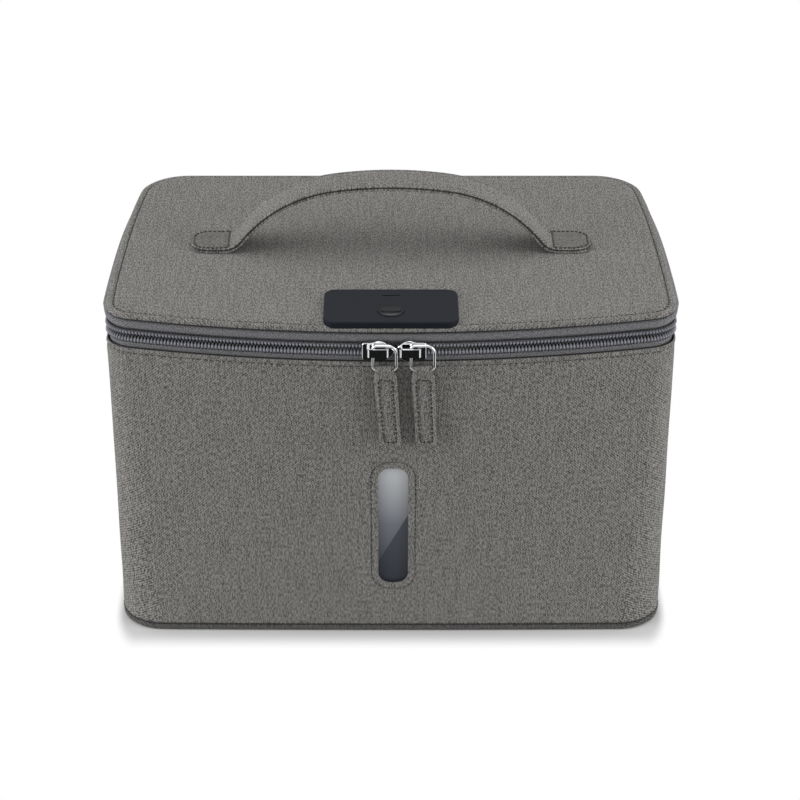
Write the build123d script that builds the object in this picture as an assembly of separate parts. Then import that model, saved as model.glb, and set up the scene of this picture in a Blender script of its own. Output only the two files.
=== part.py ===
from build123d import *

import os
from dataclasses import dataclass
from functools import lru_cache
from math import asin, atan2, cos, degrees, hypot, radians, sin, sqrt

# A soft-walled sterilizer bag: foam walls, a zipped lid with ultraviolet lamps and a
# control unit inside it, a strap handle, and a narrow window in the front.
# Millimetres. The origin is the middle of the base, on the floor. The front faces -Y.

# Overall sizes
lid_width = 330.0
depth = 218.0
height = 205.0
side_lean = 1.7

# Bow and corners of the lid's outline and of the base's outline, seen from above
widest_from_front = 53.0
side_bow_radius = 1150.0
lid_front_radius = 665.0
lid_front_corner = 18.0
base_front_radius = 9400.0
base_front_corner = 26.0
back_corner = 28.0

# Layers of the walls, the base and the lid
fabric = 1.2
wall_foam = 4.4
lining = 0.4
layer_gap = 0.2
body_setback = 1.2
board = 2.8
base_foam = 4.0
base_clearance = 0.8
lid_foam = 3.5
lid_board = 1.5
lid_lining = 0.5
lid_bevel_width = 4.0
lid_bevel_rise = 2.0
lid_foam_trim = 0.6
lid_board_trim = 1.6

# Seams, from the top down
lid_hem_drop = 3.5
chain_drop = 11.2
body_seam_drop = 7.9
straight_wall_drop = 8.4
foam_rise = 1.4

# Zip: a chain of two rows on two tapes, round the front and the sides
chain_height = 7.8
row_height = 3.0
row_depth = 2.4
row_setback = 0.2
tooth_pitch = 4.0
tooth_width = 1.5
tooth_mesh = 0.4
tooth_trim = 0.1
tooth_start = {"upper": 1.25, "lower": 0.75}
tape = 0.6
tape_hidden = 7.4
tape_cover = 1.6
zip_end_from_back = 30.0
stop_length = 2.8

# Rear hinge strip, which carries on where the zip ends
hinge_strip = 2.0
hinge_strip_gap = 0.3

# Sliders, pull rings and pull tabs
slider_length = 18.0
slider_height = 13.0
slider_tail = 10.7
slider_straight = 3.6
slider_shoulder = 1.15
slider_nose = 2.0
slider_nose_reach = 1.7
slider_nose_swell = 2.7
slider_plate = 1.5
slider_corner = 1.2
slider_edge = 0.3
slider_play = 0.3
slider_meeting_x = 1.8
slider_meeting_gap = 0.3
bridge_length = 12.6
bridge_height = 5.0
bridge_rise = 0.8
bridge_bar = 1.5
bridge_bend = 2.0
bridge_inner_bend = 0.8
wedge_length = 8.0
wedge_height = 3.8
wedge_nose_height = 2.5
wedge_shoulder = 6.0
wedge_end_gap = 1.6
wire = 1.8
ring_width = 13.3
ring_height = 15.1
ring_bend_inside = 1.3
ring_room = 0.5
ring_round = 5.0
ring_play = 0.3
tab_length = 49.0
tab_top_width = 13.2
tab_end_width = 11.7
tab_neck_play = 0.15
tab_shoulder = 2.0
tab_thickness = 2.6
tab_loop_play = 0.2
ring_pin_x = {"left": -2.9, "right": 0.4}
tab_lean = {"left": 3.5, "right": 2.5}

# Window in the front wall
window_width = 17.6
window_height = 78.4
window_low_z = 34.2
window_x = 1.3
window_round = 6.8
window_hem = 4.0
window_hem_thickness = 0.8
window_lens = 1.2

# Strap handle, along X across the lid
strap_width = 26.0
strap_skin = 0.6
strap_core = 1.7
strap_core_width = 22.0
strap_y = 3.0
strap_rise = 43.9
strap_core_trim = 2.0
crown_radius = 250.0
crown_angle = 7.8
shoulder_radius = 86.0
leg_angle = 52.0
foot_radius = 12.0
patch_length = 20.2
patch_round = 9.0

# Control panel on the lid, and its button and light
panel_width = 77.0
panel_depth = 43.8
panel_proud = 2.5
panel_round = 6.5
panel_edge = 1.0
panel_from_front = 23.3
panel_wall = 1.8
neck_width = 66.0
neck_depth = 32.0
neck_back_shift = 3.7
neck_wall = 1.6
neck_round = 4.0
button_diameter = 14.8
button_front_shift = 7.2
button_play = 0.3
button_proud = 0.4
button_dish = 0.4
button_rim = 1.2
button_edge = 0.4
button_rest_gap = 0.1
button_flange = 1.3
button_flange_height = 1.1
button_stem = 4.0
light_width = 10.7
light_height = 2.0
light_back_shift = 12.5
light_play = 0.2
light_recess = 0.2

# Control housing under the lid, with what it holds
housing_width = 92.0
housing_depth = 58.0
housing_from_front = 11.0
housing_wall = 1.8
housing_round = 6.0
housing_edge = 2.0
post_diameter = 6.0
post_spread_x = 55.0
post_spread_y = 20.0
post_rise = 3.3
boss_root = 0.5
boss_blind = 2.0
screw_shank = 2.5
screw_head = 4.6
screw_head_height = 1.5
screw_play = 0.2
screw_head_play = 0.4
screw_recess = 0.2
screw_end_gap = 1.0
circuit_board = 1.6
circuit_board_depth = 36.0
circuit_board_drop = 7.5
circuit_board_side_room = 2.2
switch_size = 6.2
switch_round = 0.6
switch_floor = 1.0
switch_height = 3.6
plunger_diameter = 3.4
plunger_proud = 1.2
plunger_length = 2.2
plunger_play = 0.15
port_width = 8.9
port_height = 3.3
port_length = 7.3
port_wall = 0.4
port_round = 1.35
port_back = 1.2
port_recess = 0.2
tongue_width = 6.4
tongue_thickness = 0.7
tongue_recess = 0.6
battery_height = 7.0
battery_round = 2.0
battery_side_room = 1.5
battery_front_room = 3.4
battery_back_room = 1.0
battery_top_room = 3.0
sensor_x = 20.0
sensor_width = 4.1
sensor_thickness = 1.6
sensor_length = 3.0
magnet_length = 10.0
magnet_thickness = 2.0
magnet_height = 5.6
magnet_cover = 0.7

# Lamp housing behind the control housing
lamp_width = 224.0
lamp_depth = 46.0
lamp_height = 12.0
lamp_gap = 4.0
lamp_round = 6.0
lamp_wall = 2.2
lamp_ledge = 2.0
lamp_roof = 1.6
lamp_cover = 1.5
lamp_screw_inset = 4.5
lamp_board_count = 3
lamp_board_gap = 4.0
lamp_board_margin = 2.8
lamp_board_width = 24.0
lamp_standoff = 2.0
standoff_diameter = 5.0
board_screw_inset = 3.5
board_screw_head = 4.0
board_screw_head_height = 1.3
board_screw_shank = 2.0
board_screw_play = 0.2
board_screw_depth = 0.4
chip_size = 3.5
chip_height = 1.1
chip_window = 2.2
chip_window_depth = 0.3
chip_pitch = 14.0
chips_per_board = 4
cable_diameter = 3.0
cable_lap = 1.0
cable_rest_gap = 0.1

# Values worked out from the sizes above
seam_gap = 0.2
play = 0.3
over = 1.0
front_y = -depth / 2
base_width = lid_width - 2 * side_lean
widest_y = front_y + widest_from_front
base_band = fabric + board + play
lid_seam_z = height - lid_hem_drop
chain_z = lid_seam_z - chain_drop
body_seam_z = chain_z - body_seam_drop
straight_wall_z = body_seam_z - straight_wall_drop
foam_top_z = body_seam_z + foam_rise
zip_end_y = depth / 2 - zip_end_from_back
tooth_reach = chain_height / 2 - row_height + tooth_mesh
strap_top_z = height + strap_rise
panel_y = front_y + panel_from_front
neck_y = panel_y + neck_back_shift
button_y = panel_y - button_front_shift
light_y = panel_y + light_back_shift
tape_inset = row_setback + row_depth
foam_inset = fabric + layer_gap
foam_inner = foam_inset + wall_foam
lining_inset = foam_inner + layer_gap
lining_inner = lining_inset + lining
rabbet_inset = tape_inset + tape + layer_gap
lid_top_inside = height - fabric
lid_foam_low = lid_top_inside - layer_gap - lid_foam
lid_board_low = lid_foam_low - layer_gap - lid_board
lid_lining_low = lid_board_low - layer_gap - lid_lining
housing_top = lid_lining_low - layer_gap
circuit_board_z = housing_top - circuit_board_drop
circuit_board_top = circuit_board_z + circuit_board
post_top_z = circuit_board_z + post_rise
plunger_top_z = circuit_board_top + switch_height + plunger_proud
battery_low = circuit_board_z - battery_top_room - battery_height
housing_low = battery_low - layer_gap - housing_wall
housing_front_y = front_y + housing_from_front
housing_back_y = housing_front_y + housing_depth
circuit_board_front_y = housing_front_y + housing_wall + layer_gap
circuit_board_back_y = circuit_board_front_y + circuit_board_depth
lamp_front_y = housing_back_y + lamp_gap
lamp_y = lamp_front_y + lamp_depth / 2
lamp_low = housing_top - lamp_height
lamp_roof_low = housing_top - lamp_roof
lamp_board_low = lamp_roof_low - lamp_standoff - circuit_board
lamp_board_room = lamp_width - 2 * (lamp_wall + lamp_ledge + lamp_board_margin)
lamp_board_pitch = lamp_board_room / lamp_board_count
lamp_board_length = lamp_board_pitch - lamp_board_gap
board_screw_x = lamp_board_length / 2 - board_screw_inset
plate_face_inset = -slider_play + row_setback
plate_back_inset = tape_inset + tape + slider_play
bridge_room = wire + 2 * ring_room
ring_bend = wire / 2 + ring_bend_inside
ring_inset = plate_face_inset - slider_plate - bridge_room / 2
tab_neck_width = ring_width - 2 * ring_bend - tab_neck_play
ring_top_z = chain_z + bridge_rise + bridge_height / 2 + ring_play + wire / 2
ring_low_z = ring_top_z - ring_height
post_places = [
    (x, neck_y + y)
    for x in (-post_spread_x / 2, post_spread_x / 2)
    for y in (-post_spread_y / 2, post_spread_y / 2)
]
big = 1000.0


def unit(x, y):
    """Direction of a vector in plan, as a vector one long."""
    size = hypot(x, y)
    return x / size, y / size


@dataclass(frozen=True)
class Plan:
    """Outline seen from above: bowed front and sides, a straight back, round corners.

    An inset moves every side in by the same distance, so the corners' centres stay.
    """

    half_width: float
    front: float
    back: float
    front_radius: float
    front_corner: float

    @property
    def front_centre(self):
        """Centre of the front's arc."""
        return 0.0, self.front_radius - self.front

    @property
    def side_centre(self):
        """Centre of the right side's arc."""
        return self.half_width - side_bow_radius, widest_y

    @property
    def front_corner_centre(self):
        """Where circles round the two arcs' centres meet, one corner radius inside."""
        (ax, ay), (bx, by) = self.front_centre, self.side_centre
        front_reach = self.front_radius - self.front_corner
        side_reach = side_bow_radius - self.front_corner
        apart = hypot(bx - ax, by - ay)
        ux, uy = unit(bx - ax, by - ay)
        along = (front_reach**2 - side_reach**2 + apart**2) / (2 * apart)
        across = sqrt(front_reach**2 - along**2)
        return ax + along * ux - across * uy, ay + along * uy + across * ux

    @property
    def back_corner_centre(self):
        """One corner radius inside the back and the right side's arc."""
        bx, by = self.side_centre
        y = self.back - back_corner
        return bx + sqrt((side_bow_radius - back_corner) ** 2 - (y - by) ** 2), y

    def side_x(self, y, inset):
        """How far out the right side is at a given Y."""
        bx, by = self.side_centre
        return bx + sqrt((side_bow_radius - inset) ** 2 - (y - by) ** 2)

    def front_y(self, x, inset):
        """Where the front is at a given X."""
        ay = self.front_centre[1]
        return ay - sqrt((self.front_radius - inset) ** 2 - x**2)

    def corner_points(self, centre, radius, first, last):
        """Start, middle and end of a corner's arc between two directions."""
        middle = unit(first[0] + last[0], first[1] + last[1])
        return [
            (centre[0] + radius * u, centre[1] + radius * v)
            for u, v in (first, middle, last)
        ]

    def front_corner_points(self, inset):
        """The right front corner, from the front to the side."""
        cx, cy = self.front_corner_centre
        (ax, ay), (bx, by) = self.front_centre, self.side_centre
        first, last = unit(cx - ax, cy - ay), unit(cx - bx, cy - by)
        return self.corner_points((cx, cy), self.front_corner - inset, first, last)

    def back_corner_points(self, inset):
        """The right back corner, from the side to the back."""
        cx, cy = self.back_corner_centre
        bx, by = self.side_centre
        first = unit(cx - bx, cy - by)
        return self.corner_points((cx, cy), back_corner - inset, first, (0.0, 1.0))

    def wire(self, inset, z):
        """The closed outline at a height."""
        front = self.front_corner_points(inset)
        back = self.back_corner_points(inset)
        side_y = (front[2][1] + back[0][1]) / 2
        side = [front[2], (self.side_x(side_y, inset), side_y), back[0]]
        edges = [Line((-back[2][0], back[2][1], z), (*back[2], z))]
        middle = (0.0, self.front_y(0.0, inset))
        front_arc = [(-front[0][0], front[0][1]), middle, front[0]]
        edges.append(ThreePointArc(*[(x, y, z) for x, y in front_arc]))
        for hand in (1, -1):
            for arc in (front, side, back):
                edges.append(ThreePointArc(*[(hand * x, y, z) for x, y in arc]))
        return Wire(edges)

    def front_wire(self, inset, z, end_y):
        """The open outline round the front and both sides, up to a given Y."""
        front = self.front_corner_points(inset)
        side_y = (front[2][1] + end_y) / 2
        side = [
            front[2],
            (self.side_x(side_y, inset), side_y),
            (self.side_x(end_y, inset), end_y),
        ]
        middle = (0.0, self.front_y(0.0, inset))
        front_arc = [(-front[0][0], front[0][1]), middle, front[0]]
        edges = [ThreePointArc(*[(x, y, z) for x, y in front_arc])]
        for hand in (1, -1):
            for arc in (front, side):
                edges.append(ThreePointArc(*[(hand * x, y, z) for x, y in arc]))
        return Wire(edges)


lid_plan = Plan(
    lid_width / 2, depth / 2, depth / 2, lid_front_radius, lid_front_corner
)
base_plan = Plan(
    base_width / 2,
    depth / 2 - body_setback,
    depth / 2 - body_setback,
    base_front_radius,
    base_front_corner,
)


def prism(plan, inset, low, high):
    """An outline raised straight up from one height to another."""
    return extrude(make_face(plan.wire(inset, low)), high - low, dir=(0, 0, 1))


def band(plan, outer, inner, low, high):
    """A closed upright band between two insets of an outline."""
    return prism(plan, outer, low, high) - prism(plan, inner, low, high)


def block(x, y, z):
    """A box from its X, Y and Z ranges."""
    size = (x[1] - x[0], y[1] - y[0], z[1] - z[0])
    middle = ((x[0] + x[1]) / 2, (y[0] + y[1]) / 2, (z[0] + z[1]) / 2)
    return Pos(*middle) * Box(*size)


def rounded_block(width, length, radius, x, y, low, high):
    """An upright block with rounded upright edges."""
    face = Pos(x, y, low) * RectangleRounded(width, length, radius)
    return extrude(face, high - low)


def rod(diameter, x, y, low, high):
    """An upright cylinder."""
    return extrude(Pos(x, y, low) * Circle(diameter / 2), high - low)


def before(shape, y):
    """The part of a shape in front of a given Y."""
    return shape & block((-big, big), (-big, y), (-big, big))


def behind(shape, y):
    """The part of a shape at the back of a given Y."""
    return shape & block((-big, big), (y, big), (-big, big))


# Walls of the body


@lru_cache(maxsize=None)
def body_form(inset):
    """The body as a solid block, drawn in all round by an inset.

    The walls lean from the base's outline to the mouth's, and stand upright above that.
    """
    low = base_plan.wire(inset, base_band)
    high = lid_plan.wire(body_setback + inset, straight_wall_z)
    top = prism(lid_plan, body_setback + inset, straight_wall_z, height)
    return Solid.make_loft([low, high], ruled=True) + top


def wall(outer, inner, low, high):
    """A layer of the walls between two insets and two heights."""
    layer = body_form(outer) - body_form(inner)
    return layer & block((-big, big), (-big, big), (low, high))


def window_prism(grow, low_y, high_y):
    """The window's outline, grown all round and run through a range of Y."""
    middle_z = window_low_z + window_height / 2
    face = Plane.XZ * Pos(window_x, middle_z) * RectangleRounded(
        window_width + 2 * grow, window_height + 2 * grow, window_round + grow
    )
    return extrude(Pos(0, high_y, 0) * face, high_y - low_y)


def make_case_outer_fabric():
    """Outer fabric of the four walls, with the window cut out."""
    skin = wall(0.0, fabric, base_band, body_seam_z)
    return skin - window_prism(0.0, front_y - over, front_y / 2)


def make_case_foam_wall():
    """Foam of the walls, cut back for the zip tape, the window and the magnet."""
    foam = wall(foam_inset, foam_inner, base_band + layer_gap, foam_top_z)
    rabbet_low = body_seam_z - tape_hidden - layer_gap
    foam -= band(lid_plan, -over, rabbet_inset, rabbet_low, height)
    foam -= window_prism(window_hem + play, front_y - over, front_y / 2)
    return foam - magnet_block(layer_gap, height)


def make_case_lining():
    """Reflective lining of the walls, with the window cut out."""
    low = base_band + layer_gap + base_foam + layer_gap
    skin = wall(lining_inset, lining_inner, low, foam_top_z)
    return skin - window_prism(0.0, front_y - over, front_y / 2)


def magnet_block(grow, high):
    """The magnet in the foam's top edge, or its pocket, grown to the sides and down."""
    back = lid_plan.front_y(sensor_x, body_setback + foam_inner) - magnet_cover
    front = back - magnet_thickness
    half = magnet_length / 2 + grow
    low = foam_top_z - layer_gap - magnet_height - grow
    return block((sensor_x - half, sensor_x + half), (front - grow, back + grow), (low, high))


def make_safety_magnet():
    """The magnet that the lid's sensor finds when the lid is shut."""
    return magnet_block(0.0, foam_top_z - layer_gap)


# Window


def wall_back_y():
    """The back of the outer fabric in the middle of the front, clear of its bow."""
    return front_y + body_setback + fabric + layer_gap


def make_window_binding():
    """Turned and stitched edge of the fabric round the window."""
    front = wall_back_y()
    back = front + window_hem_thickness
    return window_prism(window_hem, front, back) - window_prism(0.0, front - over, back + over)


def make_window_lens():
    """Tinted clear sheet behind the binding."""
    front = wall_back_y() + window_hem_thickness + layer_gap
    return window_prism(window_hem, front, front + window_lens)


# Base


def make_base_outer_panel():
    """Base fabric, turned up at its edge to the seam with the walls."""
    tray = prism(base_plan, 0.0, 0.0, base_band)
    return tray - prism(base_plan, fabric, fabric, base_band)


def make_base_board():
    """Stiff board in the base panel."""
    return prism(base_plan, fabric + layer_gap, fabric, fabric + board)


def make_base_foam():
    """Foam pad on the base board, inside the walls."""
    low = base_band + layer_gap
    return prism(base_plan, foam_inner + base_clearance, low, low + base_foam)


def make_base_lining():
    """Reflective lining of the base."""
    low = base_band + layer_gap + base_foam
    return prism(base_plan, lining_inner + base_clearance, low, low + lining)


# Zip


def row_z(upper):
    """Low and high edge of a row's solid part, without its teeth."""
    if upper:
        high = chain_z + chain_height / 2
        return high - row_height, high
    low = chain_z - chain_height / 2
    return low, low + row_height


def parting_x():
    """Where the rows start to part at the left slider's wedge and at the right's."""
    inner = slider_length / 2 - wedge_length - play
    return slider_x("left") + inner, slider_x("right") - inner


def parting():
    """Room for the two sliders' wedges, where the rows part between the noses."""
    left, right = parting_x()
    reach = wedge_height / 2 + play
    outline = Polyline(
        (left, chain_z),
        (left + wedge_shoulder, chain_z + reach),
        (right - wedge_shoulder, chain_z + reach),
        (right, chain_z),
        (right - wedge_shoulder, chain_z - reach),
        (left + wedge_shoulder, chain_z - reach),
        close=True,
    )
    face = Plane.XZ * make_face(outline)
    return extrude(Pos(0, front_y / 2, 0) * face, -front_y)


def make_zip_row(upper):
    """One row of the chain: a ribbed band whose teeth stand between the other's."""
    low, high = row_z(upper)
    inner = row_setback + row_depth
    row = before(band(lid_plan, row_setback, inner, low, high), zip_end_y)
    path = lid_plan.front_wire(row_setback + row_depth / 2, chain_z, zip_end_y)
    count = int(path.length / tooth_pitch) - 1
    first = tooth_pitch * tooth_start["upper" if upper else "lower"]
    root = row_height / 2
    reach = tooth_reach + root
    middle_z = low - tooth_reach + reach / 2 if upper else high - root + reach / 2
    parting_left, parting_right = parting_x()
    teeth = []
    for number in range(count):
        share = (first + number * tooth_pitch) / path.length
        place, along = path.position_at(share), path.tangent_at(share)
        if place.Y < 0 and parting_left - tooth_width < place.X < parting_right + tooth_width:
            continue
        turn = Rot(0, 0, degrees(atan2(along.Y, along.X)))
        tooth = Box(tooth_width, row_depth - 2 * tooth_trim, reach)
        teeth.append(Pos(place.X, place.Y, middle_z) * turn * tooth)
    return row.fuse(*teeth) - parting()


def make_case_zip_tape():
    """The body's half of the zip tape, sewn behind the top of the outer fabric."""
    low = body_seam_z - tape_hidden
    high = row_z(False)[0] + tape_cover
    ends = zip_end_y + stop_length + play
    return before(band(lid_plan, tape_inset, tape_inset + tape, low, high), ends)


def make_lid_zip_tape():
    """The lid's half of the zip tape, sewn inside the lid's hem."""
    low = row_z(True)[1] - tape_cover
    high = height - lid_bevel_rise - fabric
    ends = zip_end_y + stop_length + play
    return before(band(lid_plan, tape_inset, tape_inset + tape, low, high), ends)


def make_zip_stops(upper):
    """Two end stops of one row, clamped to its tape."""
    low, high = row_z(upper)
    ring = band(lid_plan, row_setback, tape_inset - layer_gap / 2, low, high)
    return behind(before(ring, zip_end_y + stop_length), zip_end_y + layer_gap / 2)


def make_rear_hinge(upper):
    """One part of the strip that hinges the lid, round the back between the zip's ends."""
    if upper:
        low, high = chain_z + hinge_strip_gap, lid_seam_z - seam_gap
    else:
        low, high = body_seam_z + seam_gap, chain_z - hinge_strip_gap
    strip = band(lid_plan, body_setback, body_setback + hinge_strip, low, high)
    return behind(strip, zip_end_y + stop_length + 2 * play)


# Sliders, rings and tabs are made in front of X = 0 and turned to their places round
# the centre of the front's bow, which is the line that a slider runs along.


def slider_x(hand):
    """Middle of a slider, which meets the other nose to nose."""
    offset = (slider_length + slider_meeting_gap) / 2
    return slider_meeting_x + (offset if hand == "right" else -offset)


def to_slider(shape, hand):
    """Turns a shape from X = 0 to a slider's place on the front's bow."""
    centre_y = lid_plan.front_centre[1]
    turn = degrees(asin(slider_x(hand) / lid_front_radius))
    return Pos(0, centre_y, 0) * Rot(0, 0, turn) * Pos(0, -centre_y, 0) * shape


def front_face(inset):
    """Y of the front's middle at an inset."""
    return front_y + inset


def upright(outline, front_y, back_y):
    """A closed XZ outline run through a range of Y."""
    face = Plane.XZ * make_face(outline)
    return extrude(Pos(0, back_y, 0) * face, back_y - front_y)


def slider_outline():
    """Outline of a slider's plates: a straight tail, round shoulders and a blunt nose."""
    half, tail, nose = slider_length / 2, slider_tail / 2, slider_nose / 2
    widest = slider_height / 2
    straight = slider_straight - half
    bend = (straight + slider_shoulder) / 2
    reach = half - slider_nose_reach
    upper = [
        [(-half, tail), (straight, tail)],
        [(straight, tail), (bend, tail), (bend, widest), (slider_shoulder, widest)],
        [
            (slider_shoulder, widest),
            (slider_shoulder + slider_nose_swell, widest),
            (reach, nose + slider_nose_reach),
            (half, nose),
        ],
    ]
    edges = [
        Line((-half, chain_z - tail), (-half, chain_z + tail)),
        Line((half, chain_z - nose), (half, chain_z + nose)),
    ]
    for side in (1, -1):
        for points in upper:
            edges.append(Bezier(*[(x, chain_z + side * z) for x, z in points]))
    face = make_face(edges)
    tail_corners = face.vertices().group_by(Axis.X)[0]
    return fillet(tail_corners, slider_corner).edges()


def make_slider(hand):
    """Two plates joined by the wedge that parts the rows, with a bridge for the ring."""
    half = slider_length / 2
    outline = slider_outline()
    face_y, back_y = front_face(plate_face_inset), front_face(plate_back_inset)
    front_plate = upright(outline, face_y - slider_plate, face_y)
    back_plate = upright(outline, back_y, back_y + slider_plate)
    front_plate = chamfer(front_plate.faces().sort_by(Axis.Y)[0].edges(), slider_edge)
    wedge_low = half - wedge_length
    wedge = Polyline(
        (wedge_low, chain_z),
        (wedge_low + wedge_shoulder, chain_z + wedge_height / 2),
        (half - wedge_end_gap, chain_z + wedge_nose_height / 2),
        (half - wedge_end_gap, chain_z - wedge_nose_height / 2),
        (wedge_low + wedge_shoulder, chain_z - wedge_height / 2),
        close=True,
    )
    root = slider_plate / 2
    body = front_plate + back_plate + upright(wedge, face_y - root, back_y + root)
    body += make_bridge(face_y - slider_plate)
    if hand == "right":
        body = mirror(body, Plane.YZ)
    return to_slider(body, hand)


def make_bridge(plate_y):
    """The arched bar that the pull ring hangs on, standing on the front plate."""
    half = bridge_length / 2
    top = plate_y - bridge_room - bridge_bar
    foot = plate_y + slider_plate / 2
    outer = FilletPolyline(
        (-half, foot), (-half, top), (half, top), (half, foot), radius=bridge_bend
    )
    inner = FilletPolyline(
        (half - bridge_bar, foot),
        (half - bridge_bar, top + bridge_bar),
        (-half + bridge_bar, top + bridge_bar),
        (-half + bridge_bar, foot),
        radius=bridge_inner_bend,
    )
    ends = [Line(outer @ 1, inner @ 0), Line(inner @ 1, outer @ 0)]
    section = make_face([*outer.edges(), *inner.edges(), *ends])
    low = chain_z + bridge_rise - bridge_height / 2
    return extrude(Pos(0, 0, low) * section, bridge_height)


def ring_middle_x(hand):
    """Middle of a pull ring beside its slider's middle."""
    return ring_pin_x[hand] + ring_width / 2


def make_pull_ring(hand):
    """Wire ring whose straight leg turns under the slider's bridge."""
    left = ring_pin_x[hand]
    right = left + ring_width
    y = front_face(ring_inset)
    path = FilletPolyline(
        (left, y, ring_low_z),
        (left, y, ring_top_z),
        (right, y, ring_top_z),
        (right, y, ring_low_z),
        radius=[ring_bend, ring_bend, ring_round, ring_bend],
        close=True,
    )
    start = path @ 0
    section = Plane(origin=start, z_dir=path % 0) * Circle(wire / 2)
    return to_slider(sweep(section, path), hand)


def make_pull_tab(hand):
    """Fabric strip folded over the ring's lower bar and sewn together below it."""
    y = front_face(ring_inset)
    eye = wire / 2 + tab_loop_play
    loop = eye + tab_thickness / 2
    side = Plane.YZ * (
        Pos(y, ring_low_z) * Circle(loop)
        + Pos(y, ring_low_z - tab_length / 2) * Rectangle(tab_thickness, tab_length)
        - Pos(y, ring_low_z) * Circle(eye)
    )
    strip = extrude(side, tab_top_width, both=True)
    middle = ring_middle_x(hand)
    neck, top, end = tab_neck_width / 2, tab_top_width / 2, tab_end_width / 2
    low = ring_low_z - tab_length
    lean = tab_lean[hand]
    outline = Polyline(
        (middle - neck, ring_low_z + loop),
        (middle - neck, ring_low_z - loop),
        (middle - top, ring_low_z - loop - tab_shoulder),
        (middle + lean - end, low),
        (middle + lean + end, low),
        (middle + top, ring_low_z - loop - tab_shoulder),
        (middle + neck, ring_low_z - loop),
        (middle + neck, ring_low_z + loop),
        close=True,
    )
    shape = strip & upright(outline, y - loop, y + loop)
    return to_slider(shape, hand)


# Lid


def lid_form(inset, low, fall):
    """The lid's outside as a block, drawn in by an inset and lowered by a fall."""
    bevel_low = height - lid_bevel_rise - fall
    edge = lid_plan.wire(inset, bevel_low)
    crown = lid_plan.wire(max(inset, lid_bevel_width + fall / 2), height - fall)
    return prism(lid_plan, inset, low, bevel_low) + Solid.make_loft([edge, crown], ruled=True)


def neck_hole(low, high):
    """Hole for the control panel's neck through a layer of the lid."""
    return rounded_block(
        neck_width + 2 * play, neck_depth + 2 * play, neck_round + play, 0, neck_y, low, high
    )


def make_lid_outer_fabric():
    """Top fabric of the lid, with a bevelled edge and a turned hem."""
    outside = lid_form(0.0, lid_seam_z, 0.0)
    inside = lid_form(tape_inset - seam_gap, lid_seam_z - over, fabric)
    return outside - inside - neck_hole(lid_seam_z, height + over)


def make_lid_foam():
    """Foam pad under the lid's fabric."""
    inset = tape_inset + tape + layer_gap
    pad = lid_form(inset + lid_foam_trim, lid_foam_low, fabric + layer_gap)
    return pad - neck_hole(lid_foam_low - over, height)


def make_lid_board():
    """Stiff board of the lid, which carries both housings."""
    inset = tape_inset + tape + layer_gap + lid_board_trim
    sheet = prism(lid_plan, inset, lid_board_low, lid_board_low + lid_board)
    low, high = lid_board_low - over, lid_board_low + lid_board + over
    return sheet - neck_hole(low, high) - lamp_screw_holes(low, high)


def make_lid_lining():
    """Reflective lining under the lid's board."""
    inset = tape_inset + tape + layer_gap
    sheet = prism(lid_plan, inset, lid_lining_low, lid_lining_low + lid_lining)
    low, high = lid_lining_low - over, lid_lining_low + lid_lining + over
    return sheet - neck_hole(low, high) - lamp_screw_holes(low, high)


# Handle


def strap_points(fall):
    """Points of the strap's side view, a given distance under its upper surface.

    From the middle outwards: crown arc, shoulder arc, straight leg, foot arc, patch.
    """
    crown, leg = radians(crown_angle), radians(leg_angle)
    crown_low = strap_top_z - crown_radius
    shoulder_x = (crown_radius - shoulder_radius) * sin(crown)
    shoulder_z = crown_low + (crown_radius - shoulder_radius) * cos(crown)
    leg_x = shoulder_x + shoulder_radius * sin(leg)
    leg_z = shoulder_z + shoulder_radius * cos(leg)
    patch_z = height + strap_thickness()
    leg_run = (leg_z - patch_z - foot_radius * (1 - cos(leg))) / sin(leg)
    foot_x = leg_x + leg_run * cos(leg) + foot_radius * sin(leg)
    foot_z = patch_z + foot_radius

    def on_crown(angle):
        reach = crown_radius - fall
        return reach * sin(angle), crown_low + reach * cos(angle)

    def on_shoulder(angle):
        reach = shoulder_radius - fall
        return shoulder_x + reach * sin(angle), shoulder_z + reach * cos(angle)

    def on_foot(angle):
        reach = foot_radius + fall
        return foot_x - reach * sin(angle), foot_z - reach * cos(angle)

    return {
        "top": on_crown(0.0),
        "crown": on_crown(crown),
        "shoulder": on_shoulder((crown + leg) / 2),
        "leg": on_shoulder(leg),
        "ankle": on_foot(leg),
        "foot": on_foot(leg / 2),
        "patch": on_foot(0.0),
        "end": (foot_x + patch_length, patch_z - fall),
    }


def strap_thickness():
    """Two fabric skins and the webbing between them."""
    return 2 * strap_skin + strap_core + 2 * layer_gap


def strap_line(fall):
    """The strap's side view as edges from one end to the other."""
    p = strap_points(fall)
    edges = [ThreePointArc((-p["crown"][0], p["crown"][1]), p["top"], p["crown"])]
    for hand in (1, -1):
        q = {name: (hand * x, z) for name, (x, z) in p.items()}
        edges.append(ThreePointArc(q["crown"], q["shoulder"], q["leg"]))
        edges.append(Line(q["leg"], q["ankle"]))
        edges.append(ThreePointArc(q["ankle"], q["foot"], q["patch"]))
        edges.append(Line(q["patch"], q["end"]))
    return edges


def strap_layer(high_fall, low_fall, width, trim):
    """One layer of the strap between two depths, with rounded ends."""
    high_end = strap_points(high_fall)["end"]
    low_end = strap_points(low_fall)["end"]
    edges = strap_line(high_fall) + strap_line(low_fall)
    for hand in (1, -1):
        edges.append(Line((hand * high_end[0], high_end[1]), (hand * low_end[0], low_end[1])))
    face = Plane.XZ * make_face(edges)
    layer = extrude(Pos(0, strap_y + width / 2, 0) * face, width)
    plan = rounded_block(
        2 * (high_end[0] - trim), width, patch_round - trim, 0, strap_y, height - over, big
    )
    return layer & plan


def make_handle_cover():
    """Upper fabric of the strap, ending in the two sewn patches."""
    return strap_layer(0.0, strap_skin, strap_width, 0.0)


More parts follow.
